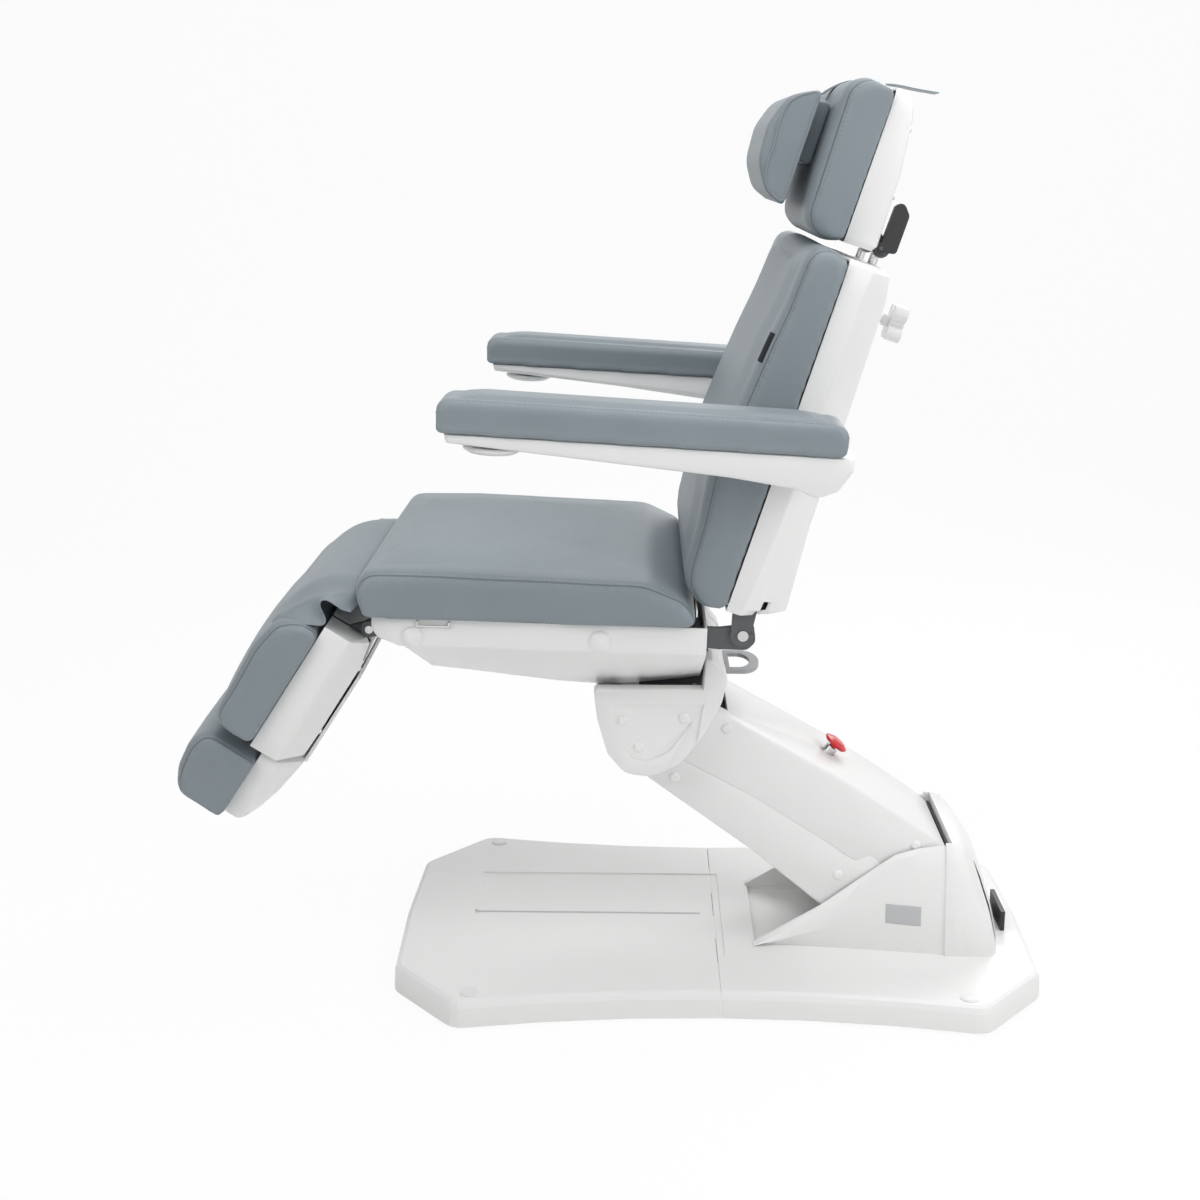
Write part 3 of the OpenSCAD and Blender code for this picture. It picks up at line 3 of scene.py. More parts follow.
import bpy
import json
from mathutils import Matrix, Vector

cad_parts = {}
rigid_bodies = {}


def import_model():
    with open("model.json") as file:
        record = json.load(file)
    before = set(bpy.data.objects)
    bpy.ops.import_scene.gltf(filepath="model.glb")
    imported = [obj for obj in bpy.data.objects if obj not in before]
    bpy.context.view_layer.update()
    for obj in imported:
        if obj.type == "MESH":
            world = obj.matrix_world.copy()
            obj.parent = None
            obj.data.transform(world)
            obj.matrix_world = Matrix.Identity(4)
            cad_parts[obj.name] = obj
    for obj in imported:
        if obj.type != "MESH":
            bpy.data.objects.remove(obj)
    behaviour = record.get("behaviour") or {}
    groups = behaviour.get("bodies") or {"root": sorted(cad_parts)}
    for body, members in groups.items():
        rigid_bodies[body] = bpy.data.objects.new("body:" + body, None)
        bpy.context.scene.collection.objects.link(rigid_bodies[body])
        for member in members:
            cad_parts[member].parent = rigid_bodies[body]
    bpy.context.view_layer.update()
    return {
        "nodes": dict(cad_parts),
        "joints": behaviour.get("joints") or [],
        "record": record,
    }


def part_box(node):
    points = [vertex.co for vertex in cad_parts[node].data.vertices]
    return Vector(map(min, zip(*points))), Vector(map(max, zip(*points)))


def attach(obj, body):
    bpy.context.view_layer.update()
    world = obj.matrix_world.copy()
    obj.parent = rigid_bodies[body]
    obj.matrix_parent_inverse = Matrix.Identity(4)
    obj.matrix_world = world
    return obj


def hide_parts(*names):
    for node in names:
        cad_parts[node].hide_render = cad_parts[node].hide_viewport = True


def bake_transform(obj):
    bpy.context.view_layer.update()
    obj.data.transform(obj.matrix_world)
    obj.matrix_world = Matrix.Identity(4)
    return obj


bl_info = {
    "name": "Procedure chair",
    "version": (1, 0, 0),
    "blender": (4, 5, 0),
    "location": "3D View > Sidebar > Chair",
    "description": "Dresses the procedure chair and lights it on a plain floor",
    "category": "Add Mesh",
}

import json
import math

import bmesh
import bpy
import numpy as np
from bpy.props import FloatProperty, FloatVectorProperty, PointerProperty
from mathutils import Matrix, Vector
from mathutils.bvhtree import BVHTree

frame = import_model()
joint_at = {j["name"]: j["pos_m"] for j in frame["joints"] if "pos_m" in j}
body_of = {n: b for b, ns in frame["record"]["behaviour"]["bodies"].items() for n in ns}
slot_of = {s["node"]: s["material_slot"] for s in frame["record"]["subparts"]}


# What a user would change
def colour(label, red, green, blue):
    return FloatVectorProperty(name=label, description=f"{label} colour", subtype="COLOR",
                               size=3, min=0, max=1, default=(red, green, blue))


def length(label, note, metres, low=0.0, high=1.0):
    return FloatProperty(name=label, description=note, unit="LENGTH", precision=5,
                         default=metres, min=low, max=high)


class ChairColours(bpy.types.PropertyGroup):
    """Colours of the chair's finishes."""
    vinyl: colour("Vinyl", 0.236, 0.276, 0.302)
    thread: colour("Thread", 0.16, 0.19, 0.21)
    shell: colour("Shell", 0.84, 0.842, 0.835)
    pale: colour("Pale plastic", 0.80, 0.80, 0.80)
    frame: colour("Frame steel", 0.10, 0.105, 0.11)
    bright: colour("Bright steel", 0.62, 0.62, 0.61)
    stop: colour("Stop button", 0.62, 0.02, 0.025)
    lever: colour("Lever", 0.36, 0.37, 0.38)
    black: colour("Black plastic", 0.022, 0.023, 0.025)
    board: colour("Board", 0.46, 0.31, 0.17)
    rubber: colour("Rubber", 0.03, 0.03, 0.032)
    floor: colour("Floor", 0.93, 0.93, 0.93)
    plate: colour("Blank plate", 0.50, 0.51, 0.52)


class ChairSizes(bpy.types.PropertyGroup):
    """Sizes of the chair's sewn and fastened details."""
    stitch_spacing: length("Stitch spacing", "Distance from stitch to stitch", 0.0062, 0.003, 0.02)
    stitch_length: length("Stitch length", "Length of one stitch", 0.0042, 0.002, 0.015)
    thread: length("Thread thickness", "Diameter of the thread", 0.0010, 0.0004, 0.003)
    seam_depth: length("Seam depth", "How far a seam pulls the cover in", 0.0012, 0.0, 0.004)
    seam_width: length("Seam width", "Half width of the drawn-in cover", 0.006, 0.002, 0.02)
    swell: length("Swell", "Most that a cushion may swell", 0.009, 0.0, 0.03)
    slack: length("Slack", "How much smaller a cushion starts", 0.004, 0.0, 0.01)
    sink: length("Sink", "Most that a cover may pull in", 0.0015, 0.0, 0.01)
    piping: length("Piping", "Diameter of the pillow's piping", 0.0042, 0.001, 0.01)
    flap: length("Flap thickness", "Thickness of the doubled flap", 0.0018, 0.001, 0.006)
    strap: length("Strap thickness", "Thickness of the folded strap", 0.0022, 0.001, 0.006)
    screw: length("Screw head", "Diameter of a screw head", 0.0085, 0.004, 0.02)
    edge: length("Shell edge", "Radius of the shells' edges", 0.0012, 0.0002, 0.004)
    deck_edge: length("Deck edge", "Radius of the edges in the floor cover", 0.005, 0.0005, 0.02)


def colours():
    return bpy.context.scene.chair_colours


def sizes():
    return bpy.context.scene.chair_sizes


# Where each part of the chair lies
class Lying:
    """A part of the chair drawn lying flat: along, up and its slope about the pivot."""

    def __init__(self, joint, degrees):
        self.y, self.z = joint_at[joint][1], joint_at[joint][2]
        self.c, self.s = math.cos(math.radians(degrees)), math.sin(math.radians(degrees))

    def at(self, x, along, up):
        return Vector((x, self.y + along * self.c - up * self.s,
                       self.z + along * self.s + up * self.c))

    def along(self):
        return Vector((0, self.c, self.s))

    def up(self):
        return Vector((0, -self.s, self.c))

    def flat(self, points):
        p = np.asarray(points, float).reshape(-1, 3)
        y, z = p[:, 1] - self.y, p[:, 2] - self.z
        return np.stack([p[:, 0], y * self.c + z * self.s, z * self.c - y * self.s], 1)


seat_flat = Lying("back_recline", -1.6)
back_flat = Lying("back_recline", 72)
leg_flat = Lying("leg_lift", 57)
arm_flat = Lying("armrest_swing_left", -3.4)


def new_node(tree, kind, settings=None, values=None):
    """A node in a tree with its settings, and its inputs linked or set."""
    made = tree.nodes.new(kind)
    for name, setting in (settings or {}).items():
        setattr(made, name, setting)
    for socket, value in (values or {}).items():
        value = value.link if isinstance(value, Value) else value
        if isinstance(value, bpy.types.NodeSocket):
            tree.links.new(value, made.inputs[socket])
        else:
            made.inputs[socket].default_value = value
    return made


# Shader values that read as plain sums
class Value:
    """A number that varies over a surface."""

    def __init__(self, finish, link):
        self.finish, self.link = finish, link

    def reckon(self, operation, a, b=0.0):
        node = self.finish.node("ShaderNodeMath", {"operation": operation}, {0: a, 1: b})
        return Value(self.finish, node.outputs[0])

    def __add__(self, other):
        return self.reckon("ADD", self, other)

    def __radd__(self, other):
        return self.reckon("ADD", other, self)

    def __sub__(self, other):
        return self.reckon("SUBTRACT", self, other)

    def __rsub__(self, other):
        return self.reckon("SUBTRACT", other, self)

    def __mul__(self, other):
        return self.reckon("MULTIPLY", self, other)

    def __rmul__(self, other):
        return self.reckon("MULTIPLY", other, self)

    def __truediv__(self, other):
        return self.reckon("DIVIDE", self, other)

    def __abs__(self):
        return self.reckon("ABSOLUTE", self)

    def most(self, other):
        return self.reckon("MAXIMUM", self, other)

    def between(self, low, high):
        """0 below low, 1 above high, smooth between."""
        node = self.finish.node("ShaderNodeMapRange", {"interpolation_type": "SMOOTHSTEP"},
                                {"Value": self, "From Min": low, "From Max": high})
        return Value(self.finish, node.outputs[0])


class Finish:
    """A material that is built node by node round one Principled shader."""

    def __init__(self, name, tint, rough, metal=0.0, **constants):
        self.material = bpy.data.materials.new(name)
        self.material.use_nodes = True
        self.tree = self.material.node_tree
        self.shader = self.tree.nodes["Principled BSDF"]
        self.shader.inputs["Roughness"].default_value = rough
        self.shader.inputs["Metallic"].default_value = metal
        self.shader.inputs["Base Color"].default_value = (*tint, 1)
        for socket, number in constants.items():
            self.shader.inputs[socket.replace("_", " ")].default_value = number
        self.tint = tint
        self.coords = self.node("ShaderNodeTexCoord").outputs["Object"]
        self.heights = []

    def node(self, kind, settings=None, values=None):
        return new_node(self.tree, kind, settings, values)

    def part(self, axis):
        """One coordinate of the surface, in metres."""
        node = self.node("ShaderNodeSeparateXYZ", None, {0: self.coords})
        return Value(self, node.outputs["XYZ".index(axis)])

    def stretched(self, scale):
        """The surface's coordinates, scaled along each axis."""
        node = self.node("ShaderNodeMapping", None, {"Vector": self.coords, "Scale": scale})
        return node.outputs[0]

    def noise(self, scale, detail=2.0, rough=0.5, coords=None):
        node = self.node("ShaderNodeTexNoise", None,
                         {"Vector": coords or self.coords, "Scale": scale, "Detail": detail,
                          "Roughness": rough})
        return Value(self, node.outputs[0])

    def cells(self, scale):
        node = self.node("ShaderNodeTexVoronoi", {"feature": "SMOOTH_F1"},
                         {"Vector": self.coords, "Scale": scale})
        return Value(self, node.outputs["Distance"])

    def mixed(self, factor, first, second):
        """A colour between two colours."""
        node = self.node("ShaderNodeMix", {"data_type": "RGBA"}, {0: factor})
        for index, shade in ((6, first), (7, second)):
            if isinstance(shade, bpy.types.NodeSocket):
                self.tree.links.new(shade, node.inputs[index])
            else:
                node.inputs[index].default_value = (*shade, 1)
        return node.outputs[2]

    def paint(self, shade):
        self.tree.links.new(shade, self.shader.inputs["Base Color"])

    def gloss(self, value):
        self.tree.links.new(value.link, self.shader.inputs["Roughness"])

    def relief(self, height, distance, strength=1.0):
        """Adds one layer of bump over the last."""
        settings = {"Height": height, "Distance": distance, "Strength": strength}
        if self.heights:
            settings["Normal"] = self.heights[-1]
        node = self.node("ShaderNodeBump", None, settings)
        self.heights.append(node.outputs[0])

    def done(self):
        if self.heights:
            self.tree.links.new(self.heights[-1], self.shader.inputs["Normal"])
        return self.material


def shade_of(tint, share):
    return tuple(min(1.0, c * share) for c in tint)


def vinyl(name, seam_x=None):
    """Upholstery vinyl: pebbled grain, soft mottling, and a seam each side of the middle, with
    painted shade.
    """
    f = Finish(name, colours().vinyl, 0.46, Specular_IOR_Level=0.45, Sheen_Weight=0.05)
    mottle = f.noise(5.0, 3.0, 0.55)
    rub = f.noise(38.0, 4.0, 0.6)
    pebble = f.cells(780.0)
    crease = f.noise(260.0, 3.0, 0.6)
    shade = f.mixed(mottle.between(0.3, 0.7), shade_of(f.tint, 0.955), shade_of(f.tint, 1.045))
    shade = f.mixed(pebble.between(0.15, 0.75) * 0.5, shade, shade_of(f.tint, 0.9))
    rough = 0.40 + rub * 0.10 + pebble * 0.06
    if seam_x:
        off = abs(abs(f.part("X")) - seam_x)
        crease_and_shade = 1.0 - off.between(0.0002, 0.0012)
        strain_and_shade = 1.0 - off.between(0.002, 0.012)
        pucker = f.noise(150.0, 1.0, 0.4, f.stretched((0.25, 1, 1)))
        # Painted shade: slightly darker over the band the seam draws in, much darker in its crease.
        shade = f.mixed(strain_and_shade * 0.2, shade, shade_of(f.tint, 0.94))
        shade = f.mixed(crease_and_shade, shade, shade_of(f.tint, 0.66))
        rough = rough + crease_and_shade * 0.15
        f.relief(pucker * strain_and_shade, 0.0011, 0.8)
        f.relief(1.0 - crease_and_shade, 0.0012)
    f.relief(pebble + crease * 0.5, 0.00010, 0.55)
    f.relief(rub, 0.0004, 0.25)
    f.paint(shade)
    f.gloss(rough)
    return f.done()


def moulded(name, tint, rough, grain=0.00006, low=None):
    """Moulded plastic: spark-eroded texture, faint flow marks, and dust towards the floor."""
    f = Finish(name, tint, rough, Specular_IOR_Level=0.5)
    flow = f.noise(3.0, 3.0, 0.55, f.stretched((1, 0.35, 1)))
    spark = f.noise(1500.0, 2.0, 0.5)
    scuff = f.noise(46.0, 5.0, 0.65)
    shade = f.mixed(flow.between(0.3, 0.7), shade_of(tint, 0.982), shade_of(tint, 1.0))
    marks = scuff.between(0.62, 0.8)
    shade = f.mixed(marks * 0.10, shade, shade_of(tint, 0.86))
    roughness = rough + marks * 0.10 + flow * 0.05 - 0.03
    if low:
        dust = (1.0 - f.part("Z").between(0.0, low)) * (0.3 + 0.7 * scuff)
        shade = f.mixed(dust * 0.22, shade, shade_of((0.80, 0.78, 0.74), 0.92))
        roughness = roughness + dust * 0.12
    f.relief(spark, grain, 0.5)
    f.paint(shade)
    f.gloss(roughness)
    return f.done()


def coated_steel(name, tint):
    """Powder-coated steel: orange peel, worn brighter in spots."""
    f = Finish(name, tint, 0.45, 0.0, Specular_IOR_Level=0.5)
    peel = f.noise(420.0, 2.0, 0.5)
    worn = f.noise(30.0, 5.0, 0.7).between(0.66, 0.76)
    f.paint(f.mixed(worn * 0.4, shade_of(tint, 1.0), shade_of((0.4, 0.4, 0.4), 1.0)))
    f.gloss(0.42 + peel * 0.12 - worn * 0.1)
    f.relief(peel, 0.00022, 0.5)
    return f.done()


def polished_steel(name, tint):
    """Bright steel drawn along its length: fine lines and fingerprints."""
    f = Finish(name, tint, 0.2, 1.0)
    lines = f.noise(60.0, 4.0, 0.6, f.stretched((40, 1.5, 40)))
    prints = f.noise(22.0, 3.0, 0.6).between(0.45, 0.75)
    f.paint(f.mixed(prints * 0.3, tint, shade_of(tint, 0.86)))
    f.gloss(0.16 + lines * 0.12 + prints * 0.08)
    f.relief(lines, 0.00003, 0.5)
    return f.done()


def plywood(name, tint):
    """Birch board: long grain and darker glued layers on the edges."""
    f = Finish(name, tint, 0.62)
    grain = f.noise(26.0, 5.0, 0.65, f.stretched((9, 1, 9)))
    fibre = f.noise(420.0, 2.0, 0.5, f.stretched((1, 0.08, 1)))
    shade = f.mixed(grain.between(0.35, 0.7), shade_of(tint, 0.72), shade_of(tint, 1.08))
    f.paint(f.mixed(fibre * 0.3, shade, shade_of(tint, 0.6)))
    f.gloss(0.55 + grain * 0.15)
    f.relief(fibre, 0.0002, 0.6)
    return f.done()


def rubber(name, tint):
    """Moulded rubber with a dull bloom."""
    f = Finish(name, tint, 0.75, Specular_IOR_Level=0.35)
    bloom = f.noise(60.0, 4.0, 0.6)
    f.paint(f.mixed(bloom.between(0.4, 0.8) * 0.5, tint, shade_of((0.09, 0.09, 0.09), 1.0)))
    f.gloss(0.68 + bloom * 0.14)
    f.relief(f.noise(900.0, 2.0, 0.5), 0.0001, 0.5)
    return f.done()


def woven(name, tint, pitch=0.0009):
    """Fine woven tape: threads crossing, one over one."""
    f = Finish(name, tint, 0.8, Specular_IOR_Level=0.3)
    weft, warp = (f.part(axis) * (math.pi / pitch) for axis in "YZ")
    weave = abs(weft.reckon("SINE", weft)).most(abs(warp.reckon("SINE", warp)))
    f.paint(f.mixed(weave, shade_of(tint, 0.55), shade_of(tint, 1.3)))
    f.gloss(0.74 + weave * 0.12)
    f.relief(weave, 0.00025, 0.8)
    return f.done()


def sewing_thread(name, tint):
    """Bonded thread: a twist and a slight sheen."""
    f = Finish(name, tint, 0.5, Sheen_Weight=0.2)
    twist = f.noise(1400.0, 1.0, 0.4, f.stretched((1, 0.4, 1)))
    f.paint(f.mixed(twist.between(0.3, 0.7), shade_of(tint, 0.85), shade_of(tint, 1.15)))
    f.relief(twist, 0.0001, 0.5)
    return f.done()


finishes = {}


def finish_of(slot):
    """The finish that a CAD node of this material slot gets."""
    if slot not in finishes:
        c = colours()
        make, *settings = {
            "white_shell": (moulded, "white shell plastic", c.shell, 0.36, 0.00006, 0.05),
            "pale_plastic": (moulded, "pale moulded plastic", c.pale, 0.30),
            "vinyl": (vinyl, "plain vinyl"),
            "frame_steel": (coated_steel, "coated frame steel", c.frame),
            "bright_steel": (polished_steel, "bright steel", c.bright),
            "stop_red": (moulded, "red button plastic", c.stop, 0.28, 0.00004),
            "lever_grey": (moulded, "grey lever plastic", c.lever, 0.40, 0.0001),
            "black_plastic": (moulded, "black plastic", c.black, 0.42, 0.0001),
            "board": (plywood, "birch plywood", c.board),
            "foot_rubber": (rubber, "foot rubber", c.rubber),
            "thread": (sewing_thread, "sewing thread", c.thread),
        }[slot]
        finishes[slot] = make(*settings)
    return finishes[slot]


# Mesh work
def new_object(name, mesh, material):
    obj = bpy.data.objects.new(name, mesh)
    bpy.context.scene.collection.objects.link(obj)
    mesh.materials.clear()
    mesh.materials.append(material)
    return obj


def from_bmesh(name, bm, material):
    mesh = bpy.data.meshes.new(name)
    bm.to_mesh(mesh)
    bm.free()
    mesh.shade_smooth()
    return new_object(name, mesh, material)


def skinned(bm, rows, closed=False):
    """Joins rows of points with faces, and turns all faces outwards."""
    for r, q in zip(rows, rows[1:]):
        for i in range(len(r) if closed else len(r) - 1):
            k = (i + 1) % len(r)
            bm.faces.new((r[i], r[k], q[k], q[i]))
    bmesh.ops.recalc_face_normals(bm, faces=bm.faces)


def merged(node):
    """A welded copy of a CAD node's mesh."""
    bm = bmesh.new()
    bm.from_mesh(frame["nodes"][node].data)
    bmesh.ops.remove_doubles(bm, verts=bm.verts, dist=2e-6)
    return bm


def applied(obj):
    """The object with its modifiers made part of its mesh."""
    bpy.context.view_layer.update()
    seen = obj.evaluated_get(bpy.context.evaluated_depsgraph_get())
    mesh = bpy.data.meshes.new_from_object(seen)
    materials = list(obj.data.materials)
    obj.modifiers.clear()
    obj.data = mesh
    mesh.materials.clear()
    for material in materials:
        mesh.materials.append(material)
    return obj


def modified(obj, kind, **settings):
    """The object with one modifier made part of its mesh."""
    modifier = obj.modifiers.new(kind.lower(), kind)
    for name, setting in settings.items():
        setattr(modifier, name, setting)
    return applied(obj)


def shaded(obj, sharp):
    """Smooth shading, with edges sharper than this many degrees kept crisp."""
    obj.data.shade_smooth()
    obj.data.set_sharp_from_angle(angle=math.radians(sharp))


def stands_for(obj, node):
    """The finished piece rides where the CAD node rides, and is shown in its place."""
    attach(obj, body_of[node])
    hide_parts(node)


def rides(obj, body):
    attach(obj, body)


def points_of(mesh):
    """A mesh's points and their normals, as arrays."""
    both = np.zeros((2, len(mesh.vertices) * 3))
    mesh.vertices.foreach_get("co", both[0])
    mesh.vertices.foreach_get("normal", both[1])
    return both.reshape(2, -1, 3)


def move_points(mesh, co):
    mesh.vertices.foreach_set("co", co.ravel())
    mesh.update()


def tree_of(obj):
    """A tree for casting rays at one object."""
    return BVHTree.FromObject(obj, bpy.context.evaluated_depsgraph_get())


def cut_loops(obj, x):
    """The outlines in which the plane at this x cuts an object, as lists of points."""
    bm = bmesh.new()
    bm.from_mesh(obj.data)
    cut = bmesh.ops.bisect_plane(bm, geom=bm.verts[:] + bm.edges[:] + bm.faces[:],
                                 plane_co=(x, 0, 0), plane_no=(1, 0, 0), dist=1e-7)
    edges = dict.fromkeys(e for e in cut["geom_cut"] if isinstance(e, bmesh.types.BMEdge))
    loops = []
    while edges:
        e = edges.popitem()[0]
        line = [e.verts[0], e.verts[1]]
        while True:
            nxt = next((k for k in line[-1].link_edges if k in edges), None)
            if nxt is None:
                break
            del edges[nxt]
            line.append(nxt.other_vert(line[-1]))
        loops.append([v.co.copy() for v in line])
    bm.free()
    return sorted(loops, key=len, reverse=True)


def upper_run(loop, place, lowest):
    """The longest run of a closed outline that lies above a height in the part's own frame."""
    keep = list(place.flat(loop)[:, 2] > lowest)
    if all(keep):
        return loop
    start = keep.index(False)
    runs = [[]]
    for i in [*range(start, len(loop)), *range(start + 1)]:
        if keep[i]:
            runs[-1].append(loop[i])
        elif runs[-1]:
            runs.append([])
    return max(runs, key=len)


def even(line, step):
    """The same line with points an even step apart."""
    p = np.array([tuple(v) for v in line])
    s = np.concatenate([[0], np.cumsum(np.linalg.norm(np.diff(p, axis=0), axis=1))])
    n = max(3, int(s[-1] / step) + 1)
    t = np.linspace(0, s[-1], n)
    return np.stack([np.interp(t, s, p[:, k]) for k in range(3)], 1)


def eased(p, rounds, closed=False):
    """The same line with its jitter smoothed out."""
    for _ in range(rounds):
        if closed:
            p = 0.5 * p + 0.25 * (np.roll(p, 1, 0) + np.roll(p, -1, 0))
        else:
            q = p.copy()
            q[1:-1] = 0.5 * p[1:-1] + 0.25 * (p[:-2] + p[2:])
            p = q
    return p


def curve_through(points, per=8):
    """A smooth line through the points."""
    p = np.array([tuple(v) for v in points], float)
    p = np.vstack([2 * p[0] - p[1], p, 2 * p[-1] - p[-2]])
    out = []
    for i in range(1, len(p) - 2):
        for t in np.arange(per) / per:
            a, b, c, d = p[i - 1], p[i], p[i + 1], p[i + 2]
            out.append(0.5 * (2 * b + (c - a) * t + (2 * a - 5 * b + 4 * c - d) * t * t
                              + (3 * b - a - 3 * c + d) * t ** 3))
    out.append(p[-2])
    return np.array(out)


# Geometry Nodes
class Tree:
    """A geometry tree with named inputs, built from the points or paths of its object."""

    def __init__(self, name, **inputs):
        self.group = bpy.data.node_groups.new(name, "GeometryNodeTree")
        face = self.group.interface
        face.new_socket("Geometry", in_out="INPUT", socket_type="NodeSocketGeometry")
        for label, kind in inputs.items():
            face.new_socket(label, in_out="INPUT", socket_type="NodeSocket" + kind)
        face.new_socket("Geometry", in_out="OUTPUT", socket_type="NodeSocketGeometry")
        self.start = self.group.nodes.new("NodeGroupInput")
        self.end = self.group.nodes.new("NodeGroupOutput")

    def node(self, kind, settings=None, values=None):
        return new_node(self.group, kind, settings, values)

    def given(self, label):
        return self.start.outputs[label]

    def finish(self, geometry):
        real = self.node("GeometryNodeRealizeInstances", None, {0: geometry})
        painted = self.node("GeometryNodeSetMaterial", None,
                            {"Geometry": real.outputs[0], "Material": self.given("Material")})
        self.group.links.new(painted.outputs[0], self.end.inputs[0])
        return self.group


def stitch_tree():
    t = Tree("stitches along seams", Spacing="Float", Length="Float", Thread="Float",
             Material="Material")
    path = t.node("GeometryNodeMeshToCurve", None, {0: t.given("Geometry")})
    even_path = t.node("GeometryNodeResampleCurve", {"mode": "LENGTH"},
                       {"Curve": path.outputs[0], "Length": t.given("Spacing")})
    ball = t.node("GeometryNodeMeshUVSphere", None, {"Segments": 6, "Rings": 4, "Radius": 0.5})
    size = t.node("ShaderNodeCombineXYZ", None, {0: t.given("Thread"), 1: t.given("Thread"),
                                                 2: t.given("Length")})
    stitch = t.node("GeometryNodeTransform", None, {"Geometry": ball.outputs[0],
                                                    "Scale": size.outputs[0]})
    tangent = t.node("GeometryNodeInputTangent")
    turn = t.node("FunctionNodeAlignRotationToVector", {"axis": "Z"},
                  {"Vector": tangent.outputs[0]})
    row = t.node("GeometryNodeInstanceOnPoints", None,
                 {"Points": even_path.outputs[0], "Instance": stitch.outputs[0],
                  "Rotation": turn.outputs[0]})
    smooth = t.node("GeometryNodeSetShadeSmooth", None, {0: row.outputs[0]})
    return t.finish(smooth.outputs[0])


def piping_tree():
    t = Tree("piping along edges", Thickness="Float", Material="Material")
    path = t.node("GeometryNodeMeshToCurve", None, {0: t.given("Geometry")})
    half = t.node("ShaderNodeMath", {"operation": "MULTIPLY"}, {0: t.given("Thickness"), 1: 0.5})
    ring = t.node("GeometryNodeCurvePrimitiveCircle", None,
                  {"Resolution": 10, "Radius": half.outputs[0]})
    tube = t.node("GeometryNodeCurveToMesh", None,
                  {"Curve": path.outputs[0], "Profile Curve": ring.outputs[0], "Fill Caps": True})
    smooth = t.node("GeometryNodeSetShadeSmooth", None, {0: tube.outputs[0]})
    return t.finish(smooth.outputs[0])


def screw_tree():
    t = Tree("screws on points", Screw="Object", Diameter="Float", Material="Material")
    info = t.node("GeometryNodeObjectInfo", None, {"Object": t.given("Screw")})
    facing = t.node("GeometryNodeInputNamedAttribute", {"data_type": "FLOAT_VECTOR"},
                    {"Name": "facing"})
    turn = t.node("FunctionNodeAlignRotationToVector", {"axis": "Z"},
                  {"Vector": facing.outputs[0]})
    points = t.node("GeometryNodeMeshToPoints", None, {0: t.given("Geometry")})
    place = t.node("GeometryNodeInstanceOnPoints", None,
                   {"Points": points.outputs[0], "Instance": info.outputs["Geometry"],
                    "Rotation": turn.outputs[0], "Scale": t.given("Diameter")})
    return t.finish(place.outputs[0])


def grown(name, mesh, tree, inputs):
    """One plain mesh from a tree run over a mesh of points or paths."""
    obj = new_object(name, mesh, inputs["Material"])
    mod = obj.modifiers.new("grow", "NODES")
    mod.node_group = tree
    for item in tree.interface.items_tree:
        if item.item_type == "SOCKET" and item.in_out == "INPUT" and item.name in inputs:
            mod[item.identifier] = inputs[item.name]
    return applied(obj)


def path_mesh(name, lines, closed=False):
    verts, edges = [], []
    for line in lines:
        first = len(verts)
        verts += [tuple(p) for p in line]
        edges += [(first + i, first + i + 1) for i in range(len(line) - 1)]
        if closed:
            edges.append((len(verts) - 1, first))
    mesh = bpy.data.meshes.new(name)
    mesh.from_pydata(verts, edges, [])
    return mesh


# Rigid shells
SHELLS = ["base_cover_front", "base_cover_rear", "lift_housing", "arm_cover_upper",
          "arm_cover_lower", "head_cover", "seat_pan", "back_shell", "headrest_shell",
          "leg_shell", "foot_shell", "armrest_left", "armrest_right"]


class CHAIR_OT_shells(bpy.types.Operator):
    """Makes the moulded white shells with rounded edges"""
    bl_idname = "chair.shells"
    bl_label = "Moulded shells"

    def execute(self, context):
        for node in SHELLS:
            bm = merged(node)
            bmesh.ops.dissolve_limit(bm, angle_limit=math.radians(0.6), verts=bm.verts,
                                     edges=bm.edges, use_dissolve_boundaries=False)
            shell = from_bmesh(node + "_skin", bm, finish_of("white_shell"))
            deck = node.startswith("base_cover")
            modified(shell, "BEVEL", width=sizes().deck_edge if deck else sizes().edge,
                     segments=3 if deck else 2, limit_method="ANGLE",
                     angle_limit=math.radians(7 if deck else 34))
            shaded(shell, 32)
            if deck:
                modified(shell, "WEIGHTED_NORMAL", keep_sharp=True)
            stands_for(shell, node)
        return {"FINISHED"}


class CHAIR_OT_fittings(bpy.types.Operator):
    """Gives every rigid CAD node that stays its own finish"""
    bl_idname = "chair.fittings"
    bl_label = "Frames and fittings"

    def execute(self, context):
        for name, obj in frame["nodes"].items():
            obj.data.materials.clear()
            obj.data.materials.append(finish_of(slot_of[name]))
        return {"FINISHED"}


# Upholstery: node, piece, place, half width, seam inset, stitch row offset, lowest stitch, voxel
CUSHIONS = [
    ("seat_cushion", "seat_upholstery", seat_flat, 0.308, 0.011, -0.005, 0.010, 0.0070),
    ("back_cushion", "back_upholstery", back_flat, 0.301, 0.014, 0.004, 0.050, 0.0070),
    ("headrest_cushion", "headrest_upholstery", back_flat, 0.200, 0.013, 0.004, 0.056, 0.0055),
    ("leg_cushion", "leg_upholstery", leg_flat, 0.300, 0.011, -0.005, 0.066, 0.0065),
    ("foot_cushion", "foot_upholstery", leg_flat, 0.275, 0.010, -0.005, 0.050, 0.0055),
]


COVER = {"vertex_group_mass": "hold", "pin_stiffness": 2.0, "quality": 4, "mass": 0.3,
         "tension_stiffness": 12, "compression_stiffness": 12, "shear_stiffness": 6,
         "bending_stiffness": 0.6, "use_pressure": True, "uniform_pressure_force": 4.0}
COVER_STEPS = 20


